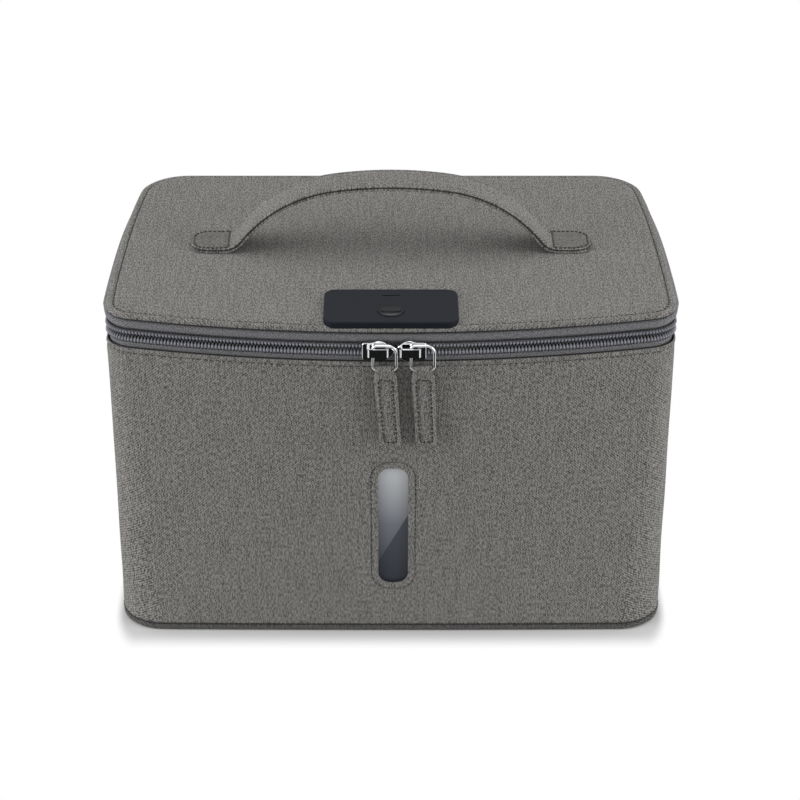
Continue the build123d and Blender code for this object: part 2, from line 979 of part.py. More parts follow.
def make_handle_core():
    """Webbing between the strap's fabrics."""
    high = strap_skin + layer_gap
    return strap_layer(high, high + strap_core, strap_core_width, strap_core_trim)


def make_handle_backing():
    """Lower fabric of the strap."""
    high = strap_skin + 2 * layer_gap + strap_core
    return strap_layer(high, high + strap_skin, strap_width, 0.0)


# Control panel


def panel_roof():
    """Underside of the panel's top wall."""
    return height + panel_proud - panel_wall


def make_control_panel():
    """Moulded panel on the lid, with a neck through it and bosses for the screws.

    Its underside follows the lid, so its front edge reaches down over the bevel.
    """
    top = height + panel_proud
    low = height - lid_bevel_rise
    plate = rounded_block(panel_width, panel_depth, panel_round, 0, panel_y, low, top)
    plate = fillet(plate.faces().sort_by(Axis.Z)[-1].edges(), panel_edge)
    plate -= lid_form(0.0, lid_seam_z, 0.0)
    neck = rounded_block(
        neck_width, neck_depth, neck_round, 0, neck_y, lid_lining_low, height
    )
    hollow = rounded_block(
        neck_width - 2 * neck_wall,
        neck_depth - 2 * neck_wall,
        neck_round - neck_wall,
        0,
        neck_y,
        lid_lining_low,
        panel_roof(),
    )
    panel = plate + neck - hollow
    for x, y in post_places:
        panel += rod(post_diameter, x, y, post_top_z + layer_gap, panel_roof() + boss_root)
        panel -= rod(screw_shank + screw_play, x, y, post_top_z, panel_roof() - boss_blind)
    panel -= rod(button_diameter + 2 * button_play, 0, button_y, panel_roof() - over, top + over)
    slot = Pos(0, light_y, panel_roof() - over) * SlotOverall(light_width, light_height)
    return panel - extrude(slot, panel_wall + 2 * over)


def make_power_button():
    """Round push button with a dished top, a flange under the panel, and a stem.

    The flange has a flat beside the neck's front wall, which keeps the button from turning.
    """
    top = height + panel_proud + button_proud
    flange_high = panel_roof() - button_rest_gap
    flange_low = flange_high - button_flange_height
    cap = rod(button_diameter, 0, button_y, flange_high, top)
    cap = fillet(cap.edges().group_by(Axis.Z)[-1], button_edge)
    dish_radius = (button_diameter / 2 - button_rim) ** 2 / (2 * button_dish)
    cap -= Pos(0, button_y, top - button_dish + dish_radius) * Sphere(dish_radius)
    flange = rod(button_diameter + 2 * button_flange, 0, button_y, flange_low, flange_high)
    flat_y = neck_y - neck_depth / 2 + neck_wall + layer_gap
    flange = behind(flange, flat_y)
    return cap + flange + rod(button_stem, 0, button_y, plunger_top_z, flange_low)


def make_indicator_light():
    """Light guide that stands on the circuit board and shows in the panel's slot."""
    low = circuit_board_top
    high = height + panel_proud - light_recess
    size = (light_width - 2 * light_play, light_height - 2 * light_play)
    slot = Pos(0, light_y, low) * SlotOverall(*size)
    return extrude(slot, high - low)


# Control housing and what it holds


def make_control_housing():
    """Tray that hangs under the lid, with screw posts, the port's hole and the cable's."""
    y = housing_front_y + housing_depth / 2
    tray = rounded_block(
        housing_width, housing_depth, housing_round, 0, y, housing_low, housing_top
    )
    low_edges = tray.faces().sort_by(Axis.Z)[0].edges()
    tray = chamfer(low_edges, housing_edge)
    tray -= rounded_block(
        housing_width - 2 * housing_wall,
        housing_depth - 2 * housing_wall,
        housing_round - housing_wall,
        0,
        y,
        housing_low + housing_wall,
        housing_top + over,
    )
    for px, py in post_places:
        tray += rod(post_diameter, px, py, housing_low + housing_wall / 2, post_top_z)
        tray -= rod(screw_shank + screw_play, px, py, housing_low - over, post_top_z + over)
        seat = housing_low + screw_head_height
        tray -= rod(screw_head + screw_head_play, px, py, housing_low - over, seat)
    wall_x = housing_width / 2 - housing_wall
    tray -= port_block(play, wall_x - over, housing_width / 2 + over)
    return tray - cable(cable_diameter + 2 * layer_gap)


def port_block(grow, low_x, high_x):
    """The charging port's outside, grown all round, along a range of X."""
    middle = circuit_board_top + port_height / 2
    face = Plane.YZ * Pos(neck_y, middle) * RectangleRounded(
        port_width + 2 * grow, port_height + 2 * grow, port_round + grow
    )
    return extrude(Pos(low_x, 0, 0) * face, high_x - low_x)


def make_charging_port():
    """Charging socket on the board's edge: a shell with a tongue inside."""
    mouth = housing_width / 2 - port_recess
    low_x = mouth - port_length
    back = low_x + port_back
    shell = port_block(0.0, low_x, mouth) - port_block(-port_wall, back, mouth + over)
    middle = circuit_board_top + port_height / 2
    tongue = block(
        (back - port_back / 2, mouth - tongue_recess),
        (neck_y - tongue_width / 2, neck_y + tongue_width / 2),
        (middle - tongue_thickness / 2, middle + tongue_thickness / 2),
    )
    return shell + tongue


def make_control_board():
    """Circuit board on the housing's posts."""
    sheet = rounded_block(
        housing_width - 2 * (housing_wall + circuit_board_side_room),
        circuit_board_depth,
        housing_round - housing_wall,
        0,
        circuit_board_front_y + circuit_board_depth / 2,
        circuit_board_z,
        circuit_board_top,
    )
    for x, y in post_places:
        hole = post_diameter + 2 * play
        sheet -= rod(hole, x, y, circuit_board_z - over, circuit_board_top + over)
    return sheet


def make_tact_switch():
    """Body of the push switch under the button."""
    low, high = circuit_board_top, circuit_board_top + switch_height
    body = rounded_block(switch_size, switch_size, switch_round, 0, button_y, low, high)
    hole = plunger_diameter + 2 * plunger_play
    return body - rod(hole, 0, button_y, low + switch_floor, high + over)


def make_switch_plunger():
    """Plunger of the push switch, under the button's stem."""
    return rod(
        plunger_diameter, 0, button_y, plunger_top_z - plunger_length, plunger_top_z
    )


def make_hall_sensor():
    """Sensor under the board's front edge, above the magnet in the front wall."""
    front = circuit_board_front_y + layer_gap
    return block(
        (sensor_x - sensor_width / 2, sensor_x + sensor_width / 2),
        (front, front + sensor_thickness),
        (circuit_board_z - sensor_length, circuit_board_z),
    )


def make_battery_pack():
    """Flat rechargeable cell on the housing's floor."""
    half = (post_spread_x - post_diameter) / 2 - battery_side_room
    front = housing_front_y + housing_wall + battery_front_room
    back = housing_back_y - housing_wall - battery_back_room
    cell = block((-half, half), (front, back), (battery_low, battery_low + battery_height))
    return fillet(cell.edges().filter_by(Axis.Y), battery_round)


def make_housing_screws():
    """Four screws of the control panel and four of the lamp housing."""
    screws = []
    for x, y in post_places:
        seat = housing_low + screw_head_height
        head = rod(screw_head, x, y, housing_low + screw_recess, seat)
        end = panel_roof() - boss_blind - screw_end_gap
        screws.append(head + rod(screw_shank, x, y, seat, end))
    for x, y in lamp_screw_places():
        head = rod(screw_head, x, y, lamp_roof_low - screw_head_height, lamp_roof_low)
        shank = rod(screw_shank, x, y, lamp_roof_low, lid_board_low + lid_board)
        screws.append(head + shank)
    return Compound(screws)


# Lamps


def lamp_screw_places():
    """Where the lamp housing is screwed to the lid's board."""
    inset = lamp_wall + lamp_ledge + lamp_screw_inset
    reach_x, reach_y = lamp_width / 2 - inset, lamp_depth / 2 - inset
    return [(x, lamp_y + y) for x in (-reach_x, reach_x) for y in (-reach_y, reach_y)]


def lamp_screw_holes(low, high):
    """Holes for those screws through a layer."""
    holes = [rod(screw_shank + screw_play, x, y, low, high) for x, y in lamp_screw_places()]
    return Compound(holes)


def board_places():
    """Middles of the lamp boards, in a row along X."""
    first = -(lamp_board_count - 1) / 2
    return [(first + number) * lamp_board_pitch for number in range(lamp_board_count)]


def cable(diameter):
    """The lamp cable, straight from the circuit board to the middle lamp board."""
    z = circuit_board_top + cable_rest_gap + cable_diameter / 2
    start = circuit_board_back_y - cable_lap
    end = lamp_y - lamp_board_width / 2 - layer_gap
    face = Plane.XZ * Pos(0, z) * Circle(diameter / 2)
    return extrude(Pos(0, end, 0) * face, end - start)


def make_lamp_housing():
    """Shallow tray that opens downwards, with standoffs for the lamp boards."""
    inner_round = lamp_round - lamp_wall
    tray = rounded_block(lamp_width, lamp_depth, lamp_round, 0, lamp_y, lamp_low, housing_top)
    recess_high = lamp_low + lamp_cover + layer_gap
    tray -= rounded_block(
        lamp_width - 2 * lamp_wall,
        lamp_depth - 2 * lamp_wall,
        inner_round,
        0,
        lamp_y,
        lamp_low,
        recess_high,
    )
    ledge = lamp_wall + lamp_ledge
    tray -= rounded_block(
        lamp_width - 2 * ledge,
        lamp_depth - 2 * ledge,
        lamp_round - ledge,
        0,
        lamp_y,
        lamp_low,
        lamp_roof_low,
    )
    for x in board_places():
        for offset in (-board_screw_x, board_screw_x):
            low = lamp_roof_low - lamp_standoff
            tray += rod(standoff_diameter, x + offset, lamp_y, low, lamp_roof_low + boss_root)
            hole = board_screw_shank + board_screw_play
            tray -= rod(hole, x + offset, lamp_y, low, lamp_roof_low + board_screw_depth + play)
    tray -= lamp_screw_holes(lamp_roof_low - over, housing_top + over)
    return tray - cable(cable_diameter + 2 * layer_gap)


def make_lamp_boards():
    """Boards that carry the lamp chips, face down."""
    boards = []
    for x in board_places():
        sheet = block(
            (x - lamp_board_length / 2, x + lamp_board_length / 2),
            (lamp_y - lamp_board_width / 2, lamp_y + lamp_board_width / 2),
            (lamp_board_low, lamp_board_low + circuit_board),
        )
        for offset in (-board_screw_x, board_screw_x):
            hole = board_screw_shank + 2 * board_screw_play
            low, high = lamp_board_low - over, lamp_board_low + circuit_board + over
            sheet -= rod(hole, x + offset, lamp_y, low, high)
        boards.append(sheet)
    return Compound(boards)


def make_lamp_board_screws():
    """Two small screws through each lamp board into its standoffs."""
    screws = []
    for x in board_places():
        for offset in (-board_screw_x, board_screw_x):
            low = lamp_board_low - board_screw_head_height
            head = rod(board_screw_head, x + offset, lamp_y, low, lamp_board_low)
            end = lamp_roof_low + board_screw_depth
            shank = rod(board_screw_shank, x + offset, lamp_y, lamp_board_low, end)
            screws.append(head + shank)
    return Compound(screws)


def make_uv_led_chips():
    """Ultraviolet lamp chips under the boards, each with a small window."""
    chips = []
    first = -(chips_per_board - 1) / 2
    for x in board_places():
        for number in range(chips_per_board):
            chip_x = x + (first + number) * chip_pitch
            low = lamp_board_low - chip_height
            half = chip_size / 2
            chip = block(
                (chip_x - half, chip_x + half), (lamp_y - half, lamp_y + half), (low, lamp_board_low)
            )
            chips.append(chip - rod(chip_window, chip_x, lamp_y, low, low + chip_window_depth))
    return Compound(chips)


def make_lamp_cover():
    """Clear cover let into the lamp housing's underside."""
    return rounded_block(
        lamp_width - 2 * lamp_wall - 2 * layer_gap,
        lamp_depth - 2 * lamp_wall - 2 * layer_gap,
        lamp_round - lamp_wall - layer_gap,
        0,
        lamp_y,
        lamp_low,
        lamp_low + lamp_cover,
    )


nodes = {
    "case_outer_fabric": make_case_outer_fabric(),
    "case_foam_wall": make_case_foam_wall(),
    "case_lining": make_case_lining(),
    "base_outer_panel": make_base_outer_panel(),
    "base_board": make_base_board(),
    "base_foam": make_base_foam(),
    "base_lining": make_base_lining(),
    "window_binding": make_window_binding(),
    "window_lens": make_window_lens(),
    "safety_magnet": make_safety_magnet(),
    "case_zip_tape": make_case_zip_tape(),
    "case_zip_coil": make_zip_row(False),
    "case_zip_stops": make_zip_stops(False),
    "rear_hinge_case": make_rear_hinge(False),
    "lid_outer_fabric": make_lid_outer_fabric(),
    "lid_foam": make_lid_foam(),
    "lid_board": make_lid_board(),
    "lid_lining": make_lid_lining(),
    "lid_zip_tape": make_lid_zip_tape(),
    "lid_zip_coil": make_zip_row(True),
    "lid_zip_stops": make_zip_stops(True),
    "rear_hinge_lid": make_rear_hinge(True),
    "handle_cover": make_handle_cover(),
    "handle_core": make_handle_core(),
    "handle_backing": make_handle_backing(),
    "control_panel": make_control_panel(),
    "power_button": make_power_button(),
    "switch_plunger": make_switch_plunger(),
    "indicator_light": make_indicator_light(),
    "control_housing": make_control_housing(),
    "control_board": make_control_board(),
    "tact_switch": make_tact_switch(),
    "charging_port": make_charging_port(),
    "hall_sensor": make_hall_sensor(),
    "battery_pack": make_battery_pack(),
    "housing_screws": make_housing_screws(),
    "lamp_housing": make_lamp_housing(),
    "lamp_boards": make_lamp_boards(),
    "lamp_board_screws": make_lamp_board_screws(),
    "uv_led_chips": make_uv_led_chips(),
    "lamp_cover": make_lamp_cover(),
    "lamp_cable": cable(cable_diameter),
}
for hand in ("left", "right"):
    nodes[f"zip_slider_{hand}"] = make_slider(hand)
    nodes[f"pull_ring_{hand}"] = make_pull_ring(hand)
    nodes[f"pull_tab_{hand}"] = make_pull_tab(hand)

os.makedirs("parts", exist_ok=True)
for name, shape in nodes.items():
    export_step(shape, f"parts/{name}.step")
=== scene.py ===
"""A soft-walled sterilizer bag with a zipped lid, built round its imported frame.

Sizes are in millimetres, and a mesh is turned to metres when it is made. The front
faces -Y, and the floor is Z = 0.
"""

from __future__ import annotations

import logging
import math
from dataclasses import dataclass, field
from enum import Enum

import bmesh
import bpy
import numpy as np
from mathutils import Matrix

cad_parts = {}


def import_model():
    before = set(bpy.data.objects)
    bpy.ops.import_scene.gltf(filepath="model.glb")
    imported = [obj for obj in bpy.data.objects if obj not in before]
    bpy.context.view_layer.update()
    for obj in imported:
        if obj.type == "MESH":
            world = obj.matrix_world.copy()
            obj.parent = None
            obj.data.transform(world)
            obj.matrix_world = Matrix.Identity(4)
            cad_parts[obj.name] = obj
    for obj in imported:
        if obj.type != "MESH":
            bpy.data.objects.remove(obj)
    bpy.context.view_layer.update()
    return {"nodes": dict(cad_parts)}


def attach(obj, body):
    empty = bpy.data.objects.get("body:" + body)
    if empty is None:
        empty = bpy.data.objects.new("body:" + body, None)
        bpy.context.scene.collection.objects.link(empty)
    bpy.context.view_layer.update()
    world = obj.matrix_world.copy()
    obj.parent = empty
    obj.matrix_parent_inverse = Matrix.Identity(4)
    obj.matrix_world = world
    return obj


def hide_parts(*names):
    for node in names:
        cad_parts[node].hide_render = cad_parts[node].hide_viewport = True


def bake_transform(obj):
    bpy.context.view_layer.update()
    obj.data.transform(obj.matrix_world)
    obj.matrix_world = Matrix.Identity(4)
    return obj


MM = 0.001
Array = np.ndarray
Piece = bpy.types.Object
Material = bpy.types.Material
Tree = bpy.types.NodeTree
Node = bpy.types.Node
Socket = bpy.types.NodeSocket
log = logging.getLogger("bag")


class Body(str, Enum):
    """Moving bodies of the frame that new pieces ride on."""

    CASE = "case"
    LID = "lid"
    TAB_LEFT = "tab_left"
    TAB_RIGHT = "tab_right"


class Slot(str, Enum):
    """Material slots of the record."""

    FABRIC = "outer_fabric"
    TAPE = "zip_tape"
    COIL = "zip_coil"
    LINING = "reflective_lining"


# Finishes


def to_linear(hex_colour: str) -> tuple[float, float, float, float]:
    """Turns an sRGB hex colour into linear values.

    Args:
        hex_colour: Six hex digits after a hash.

    Returns:
        Linear red, green and blue, and an alpha of one.
    """
    parts = [int(hex_colour[i : i + 2], 16) / 255 for i in (1, 3, 5)]
    low_end, slope, offset, power = 0.04045, 12.92, 0.055, 2.4
    values = [v / slope if v <= low_end else ((v + offset) / (1 + offset)) ** power for v in parts]
    return (*values, 1.0)


def set_inputs(tree: Tree, node: Node, inputs: dict) -> None:
    """Sets a node's inputs, or links them.

    Args:
        tree: The node tree that holds the node.
        node: The node to set.
        inputs: Values, output sockets, or nodes whose first output is meant, by the
            input's name or number.
    """
    for key, value in inputs.items():
        if isinstance(value, Node):
            value = value.outputs[0]
        if isinstance(value, Socket):
            tree.links.new(value, node.inputs[key])
        else:
            node.inputs[key].default_value = value


def add_node(tree: Tree, kind: str, inputs: dict, **settings: object) -> Node:
    """Adds a node with its settings, and sets or links its inputs.

    Args:
        tree: The node tree that it goes into.
        kind: The node's type, less Blender's prefix for shader nodes.
        inputs: What set_inputs takes.
        settings: The node's own properties by name.

    Returns:
        The new node.
    """
    node = tree.nodes.new("ShaderNode" + kind)
    for name, value in settings.items():
        setattr(node, name, value)
    set_inputs(tree, node, inputs)
    return node


def new_material(name: str, shader: dict) -> tuple[Tree, Node, Material]:
    """Makes a material with one surface shader.

    Args:
        name: The finish's name.
        shader: Values of the shader's sockets.

    Returns:
        The node tree, its shader and the material.
    """
    material = bpy.data.materials.new(name)
    material.use_nodes = True
    tree = material.node_tree
    surface = tree.nodes["Principled BSDF"]
    set_inputs(tree, surface, shader)
    return tree, surface, material


# At a scale of one a wave texture repeats every 0.314 units
WAVE_REPEAT = 0.314
WHITE = (1.0, 1.0, 1.0, 1.0)


@dataclass(frozen=True)
class WovenCloth:
    """Woven polyester: two yarns, a twill line, and slubs along the warp.

    The cloth's own map runs in metres, across and along the warp.
    """

    name: str
    warp: str = "#9A9894"
    weft: str = "#030303"
    twill_pitch: float = 1.25
    twill_share: float = 0.3
    twill_lean: float = -52.0
    fleck_width: float = 0.72
    fleck_length: float = 2.4
    grain: float = 0.75
    grain_share: float = 0.45
    contrast: float = 0.035
    streak_width: float = 1.9
    streak_length: float = 24.0
    streak_share: float = 0.16
    relief: float = 0.14
    roughness: float = 0.92
    sheen: float = 0.08

    def make(self) -> Material:
        """Builds the material: slubs, grain and twill mix the two yarns and raise them."""
        tree, surface, material = new_material(
            self.name,
            {
                "Roughness": self.roughness,
                "Sheen Weight": self.sheen,
                "Sheen Roughness": 0.5,
                "Specular IOR Level": 0.2,
            },
        )
        cloth = add_node(tree, "UVMap", {}, uv_map="cloth")
        in_mm = add_node(tree, "Mapping", {0: cloth, "Scale": (1 / MM, 1 / MM, 1.0)})
        crisp = (0.5 - self.contrast, 0.5 + self.contrast)
        layers = []
        for wide, tall, (low, high) in (
            (self.fleck_width, self.fleck_length, crisp),
            (self.grain, self.grain, crisp),
            (self.streak_width, self.streak_length, (0.3, 0.7)),
        ):
            spots = add_node(tree, "Mapping", {0: in_mm, "Scale": (1 / wide, 1 / tall, 1.0)})
            values = {"Vector": spots, "Scale": 1.0, "Detail": 1.0}
            noise = add_node(tree, "TexNoise", values, noise_dimensions="2D")
            layers.append(add_node(tree, "MapRange", {0: noise, 1: low, 2: high, 3: 0.0, 4: 1.0}))
        # The twill leans outwards on both halves of a panel
        halves = add_node(tree, "VectorMath", {0: in_mm}, operation="ABSOLUTE")
        turn = (0.0, 0.0, math.radians(self.twill_lean))
        values = {
            "Vector": add_node(tree, "Mapping", {0: halves, "Rotation": turn}),
            "Scale": WAVE_REPEAT / self.twill_pitch,
            "Distortion": 1.2,
            "Detail": 1.0,
            "Detail Scale": 2.0,
        }
        twill = add_node(tree, "TexWave", values, wave_type="BANDS", bands_direction="X")
        yarns = layers[0]
        for layer, share in (
            (layers[1], self.grain_share),
            (layers[2], self.streak_share),
            (twill.outputs["Fac"], self.twill_share),
        ):
            yarns = add_node(tree, "Mix", {0: share, 2: yarns, 3: layer}, data_type="FLOAT")
        ends = {0: yarns, 6: to_linear(self.weft), 7: to_linear(self.warp)}
        shade = add_node(tree, "Mix", ends, data_type="RGBA")
        rise = {"Height": yarns, "Distance": self.relief * MM, "Strength": 0.8}
        bump = add_node(tree, "Bump", rise)
        set_inputs(tree, surface, {"Base Color": shade.outputs[2], "Normal": bump})
        return material


@dataclass(frozen=True)
class SolidFinish:
    """A moulded, drawn or cast material of one colour with a fine texture of its own."""

    name: str
    colour: str
    roughness: float = 0.5
    metallic: float = 0.0
    coat: float = 0.0
    mottle: float = 0.06
    grain_mm: float = 0.6
    relief: float = 0.02
    specular: float = 0.5
    ior: float | None = None
    transmission: float = 0.0
    alpha: float = 1.0
    # Painted shade: the height that it darkens round, and how far it reaches
    painted_shade_z: float = 0.0
    painted_shade_reach: float = 0.0

    def paint_shade(
        self, tree: Tree, place: Socket, colour: Socket
    ) -> Socket:
        """Paints shade into a colour within a distance of one height, where light hardly reaches.

        Args:
            tree: The material's node tree.
            place: The object's own coordinates.
            colour: The colour to darken.

        Returns:
            The colour with its painted shade.
        """
        height = add_node(tree, "SeparateXYZ", {0: place}).outputs[2]
        off = add_node(tree, "Math", {0: height, 1: self.painted_shade_z * MM}, operation="SUBTRACT")
        away = add_node(tree, "Math", {0: off}, operation="ABSOLUTE")
        reach = self.painted_shade_reach * MM
        share = add_node(tree, "MapRange", {0: away, 1: 0.45 * reach, 2: reach, 3: 0.6, 4: 0.0})
        ends = {0: share, 6: colour, 7: (0.004, 0.004, 0.005, 1.0)}
        return add_node(tree, "Mix", ends, data_type="RGBA").outputs[2]

    def make(self) -> Material:
        """Builds the material: noise on the object's own coordinates varies colour and relief."""
        values = {
            "Metallic": self.metallic,
            "Coat Weight": self.coat,
            "Transmission Weight": self.transmission,
            "Alpha": self.alpha,
            "Specular IOR Level": self.specular,
        }
        if self.ior is not None:
            values["IOR"] = self.ior
        tree, surface, material = new_material(self.name, values)
        place = add_node(tree, "TexCoord", {}).outputs["Object"]
        scale = 1 / (self.grain_mm * MM)
        noise = add_node(tree, "TexNoise", {"Vector": place, "Scale": scale, "Detail": 3.0})
        tone = to_linear(self.colour)[:3]
        dark, light = (
            (*(min(part * share, 1.0) for part in tone), 1.0)
            for share in (1 - self.mottle, 1 + self.mottle)
        )
        colour = add_node(tree, "Mix", {0: noise, 6: dark, 7: light}, data_type="RGBA").outputs[2]
        # Painted shade near one height, where light hardly reaches
        if self.painted_shade_reach > 0:
            colour = self.paint_shade(tree, place, colour)
        smooth, rough = self.roughness * 0.85, min(self.roughness * 1.15, 1.0)
        gloss = add_node(tree, "MapRange", {0: noise, 3: smooth, 4: rough})
        rise = {"Height": noise, "Distance": self.relief * MM, "Strength": 0.6}
        bump = add_node(tree, "Bump", rise)
        set_inputs(tree, surface, {"Base Color": colour, "Roughness": gloss, "Normal": bump})
        return material


@dataclass(frozen=True)
class SheetWithPaintedReflection:
    """Clear sheet with a painted reflection: pale at the top, dark below a slanting edge."""

    name: str
    low: float
    high: float
    pale: str = "#C6C9CC"
    middle: str = "#72767D"
    dark: str = "#3A3E45"
    slant: float = 1.82
    edge_z: float = 62.0
    edge_soft: float = 1.2

    def make(self) -> Material:
        """Builds the material: height grades the painted reflection, and a slanting line darkens
        one side.
        """
        shader = {"Roughness": 0.12, "Specular IOR Level": 0.06}
        tree, surface, material = new_material(self.name, shader)
        place = add_node(tree, "TexCoord", {}).outputs["Object"]
        axes = add_node(tree, "SeparateXYZ", {0: place})
        span = {0: axes.outputs[2], 1: self.low * MM, 2: self.high * MM, 3: 0.0, 4: 1.0}
        ramp = add_node(tree, "ValToRGB", {0: add_node(tree, "MapRange", span)})
        ramp.color_ramp.elements[0].color = to_linear(self.dark)
        ramp.color_ramp.elements[0].position = 0.08
        ramp.color_ramp.elements[1].color = to_linear(self.pale)
        ramp.color_ramp.elements.new(0.5).color = to_linear(self.middle)
        # The painted reflection's slanting edge climbs to the right, and it is darker under it
        slope = {0: axes.outputs[0], 1: -self.slant, 2: axes.outputs[2]}
        fallen = add_node(tree, "Math", slope, operation="MULTIPLY_ADD")
        edge, soft = self.edge_z * MM, (self.edge_z - self.edge_soft) * MM
        below = add_node(tree, "MapRange", {0: fallen, 1: edge, 2: soft, 3: 0.0, 4: 0.75})
        ends = {0: below, 6: ramp, 7: to_linear(self.dark)}
        shade = add_node(tree, "Mix", ends, data_type="RGBA")
        set_inputs(tree, surface, {"Base Color": shade.outputs[2]})
        return material


# Melange polyester canvas: pale and dark yarns twisted together, so it flecks. The real
# twill has about 0.5 mm between lines, and is drawn coarser so that it shows.
HEATHER_TWILL = WovenCloth("heather_twill_polyester")
# The same cloth in the base, in darker yarns: painted shade for the shade that the base sits in
BASE_TWILL_SHADED = WovenCloth("heather_twill_polyester_base_painted_shade", warp="#6E6C6A", weft="#18181A")
# The canvas of the handle's end patches, a double layer, in darker yarns: painted shade for the
# shade that it sits in
PATCH_TWILL_SHADED = WovenCloth("heather_twill_polyester_patch_painted_shade", warp="#8C8A85", weft="#060607")
# Zip tape: a dense woven polyester herringbone, smoother and bluer than the canvas
ZIP_TAPE = WovenCloth(
    "woven_polyester_zip_tape",
    warp="#8C8C8F", weft="#303035", twill_pitch=1.2, twill_share=0.4, fleck_width=0.8,
    fleck_length=0.9, grain=0.7, streak_share=0.05, relief=0.1, roughness=0.8,
)
# Braided filler cord that each coil is sewn round, in the shade of its loops
COIL_CORD = WovenCloth(
    "braided_polyester_cord",
    warp="#6A6A72", weft="#2E2E33", fleck_width=0.8, fleck_length=0.8, streak_share=0.0,
)
# Bonded polyester thread: waxed, a little glossier than the cloth
SEWING_THREAD = SolidFinish("bonded_sewing_thread", "#141415", roughness=0.65, grain_mm=0.3)
# Nylon monofilament coil: smooth, so each loop carries a small highlight. Painted shade darkens its
# heads, where the two rows mesh.
NYLON_COIL = SolidFinish(
    "nylon_monofilament_coil", "#797A82", roughness=0.5, relief=0.005, painted_shade_z=190.3, painted_shade_reach=1.5
)
# Zinc die casting, bright chromed: a mirror that shows the pale room and dark gaps
CHROMED_ZINC = SolidFinish(
    "bright_chromed_zinc", "#DADCDD", roughness=0.07, metallic=1.0, mottle=0.02, relief=0.001
)
# ABS with a soft-touch coat: no gloss, only a faint sheen on its rounded edge
SOFT_TOUCH_ABS = SolidFinish(
    "soft_touch_abs", "#12161D", roughness=0.6, mottle=0.05, grain_mm=0.25, relief=0.008,
    specular=0.12,
)
# Polished ABS button, whose rim catches the light
POLISHED_ABS = SolidFinish(
    "polished_abs_button", "#0A0C0F", roughness=0.16, coat=0.06, mottle=0.02, relief=0.001,
    specular=0.12,
)
# Smoked acrylic light guide, dark while it is off
SMOKED_ACRYLIC = SolidFinish("smoked_acrylic", "#050506", roughness=0.35, specular=0.15)
# White ABS housings inside the lid, moulded with a fine spark-eroded grain
WHITE_ABS = SolidFinish("spark_grained_white_abs", "#DADAD6", roughness=0.45, grain_mm=0.35)
# Film of vacuum-deposited aluminium on cloth, satin and slightly crumpled
METAL_FILM = SolidFinish(
    "aluminised_film_lining",
    "#B9BBBF", roughness=0.34, metallic=0.7, mottle=0.05, grain_mm=9.0, relief=0.9,
)
CLOSED_FOAM = SolidFinish("closed_cell_foam", "#2E2E30", roughness=0.9, grain_mm=0.8, relief=0.1)
STIFF_BOARD = SolidFinish("extruded_board", "#262628", roughness=0.7)
ZINC_STEEL = SolidFinish("zinc_plated_steel", "#B7B9BA", roughness=0.3, metallic=1.0)
GREEN_LAMINATE = SolidFinish("green_circuit_laminate", "#1F5A3A", roughness=0.35, coat=0.4)
BLACK_RESIN = SolidFinish("black_moulding_resin", "#161617", roughness=0.5)
POUCH_FOIL = SolidFinish("aluminium_pouch_foil", "#AEB1B5", roughness=0.35, metallic=0.9)
LAMP_CERAMIC = SolidFinish("lamp_ceramic", "#E5DFC8", roughness=0.3, coat=0.3)
CABLE_RUBBER = SolidFinish("cable_rubber", "#1A1A1B", roughness=0.6)
# Fused quartz lets the lamps' light through, so the cover is clear
FUSED_QUARTZ = SolidFinish(
    "fused_quartz", "#F2F6F8", roughness=0.03, ior=1.46, transmission=0.9, alpha=0.5
)

# The frame's own nodes that each finish goes on
CAD_NODES: tuple[tuple[SolidFinish, str], ...] = (
    (CHROMED_ZINC, "zip_slider_left zip_slider_right pull_ring_left pull_ring_right"),
    (SOFT_TOUCH_ABS, "control_panel"),
    (POLISHED_ABS, "power_button"),
    (SMOKED_ACRYLIC, "indicator_light"),
    (BLACK_RESIN, "switch_plunger tact_switch hall_sensor"),
    (WHITE_ABS, "control_housing lamp_housing"),
    (FUSED_QUARTZ, "lamp_cover"),
    (GREEN_LAMINATE, "lamp_boards control_board"),
    (LAMP_CERAMIC, "uv_led_chips"),
    (ZINC_STEEL, "lamp_board_screws housing_screws charging_port safety_magnet"),
    (ZINC_STEEL, "case_zip_stops lid_zip_stops"),
    (POUCH_FOIL, "battery_pack"),
    (CABLE_RUBBER, "lamp_cable"),
    (STIFF_BOARD, "base_board lid_board"),
    (CLOSED_FOAM, "base_foam lid_foam"),
)


# Meshes


@dataclass
class Patch:
    """A grid of points in mm, shaped (rows, columns, 3), with its flat map in mm."""

    points: Array
    flat: Array


def quads(rows: int, columns: int) -> Array:
    """Four corner numbers of each cell of a grid, as (cells, 4)."""
    index = np.arange(rows * columns).reshape(rows, columns)
    corners = [index[:-1, :-1], index[:-1, 1:], index[1:, 1:], index[1:, :-1]]
    return np.stack(corners, axis=-1).reshape(-1, 4)


def add_mesh(name: str, points: Array, faces: Array, flat: Array) -> Piece:
    """Makes an object from points in mm, merging points that coincide.

    Args:
        name: The piece's name.
        points: Points as (n, 3), in mm.
        faces: Corner numbers as (m, 4).
        flat: The flat map of each point as (n, 2), in mm.

    Returns:
        The new object, with its place in its mesh.
    """
    mesh = bpy.data.meshes.new(name)
    mesh.from_pydata((points * MM).tolist(), [], faces.tolist())
    layer = mesh.uv_layers.new(name="cloth")
    layer.data.foreach_set("uv", (flat[faces.ravel()] * MM).ravel())
    work = bmesh.new()
    work.from_mesh(mesh)
    bmesh.ops.remove_doubles(work, verts=work.verts, dist=0.002 * MM)
    bmesh.ops.recalc_face_normals(work, faces=work.faces)
    work.to_mesh(mesh)
    work.free()
    mesh.polygons.foreach_set("use_smooth", np.ones(len(mesh.polygons), dtype=bool))
    mesh.update()
    piece = bpy.data.objects.new(name, mesh)
    bpy.context.scene.collection.objects.link(piece)
    return piece


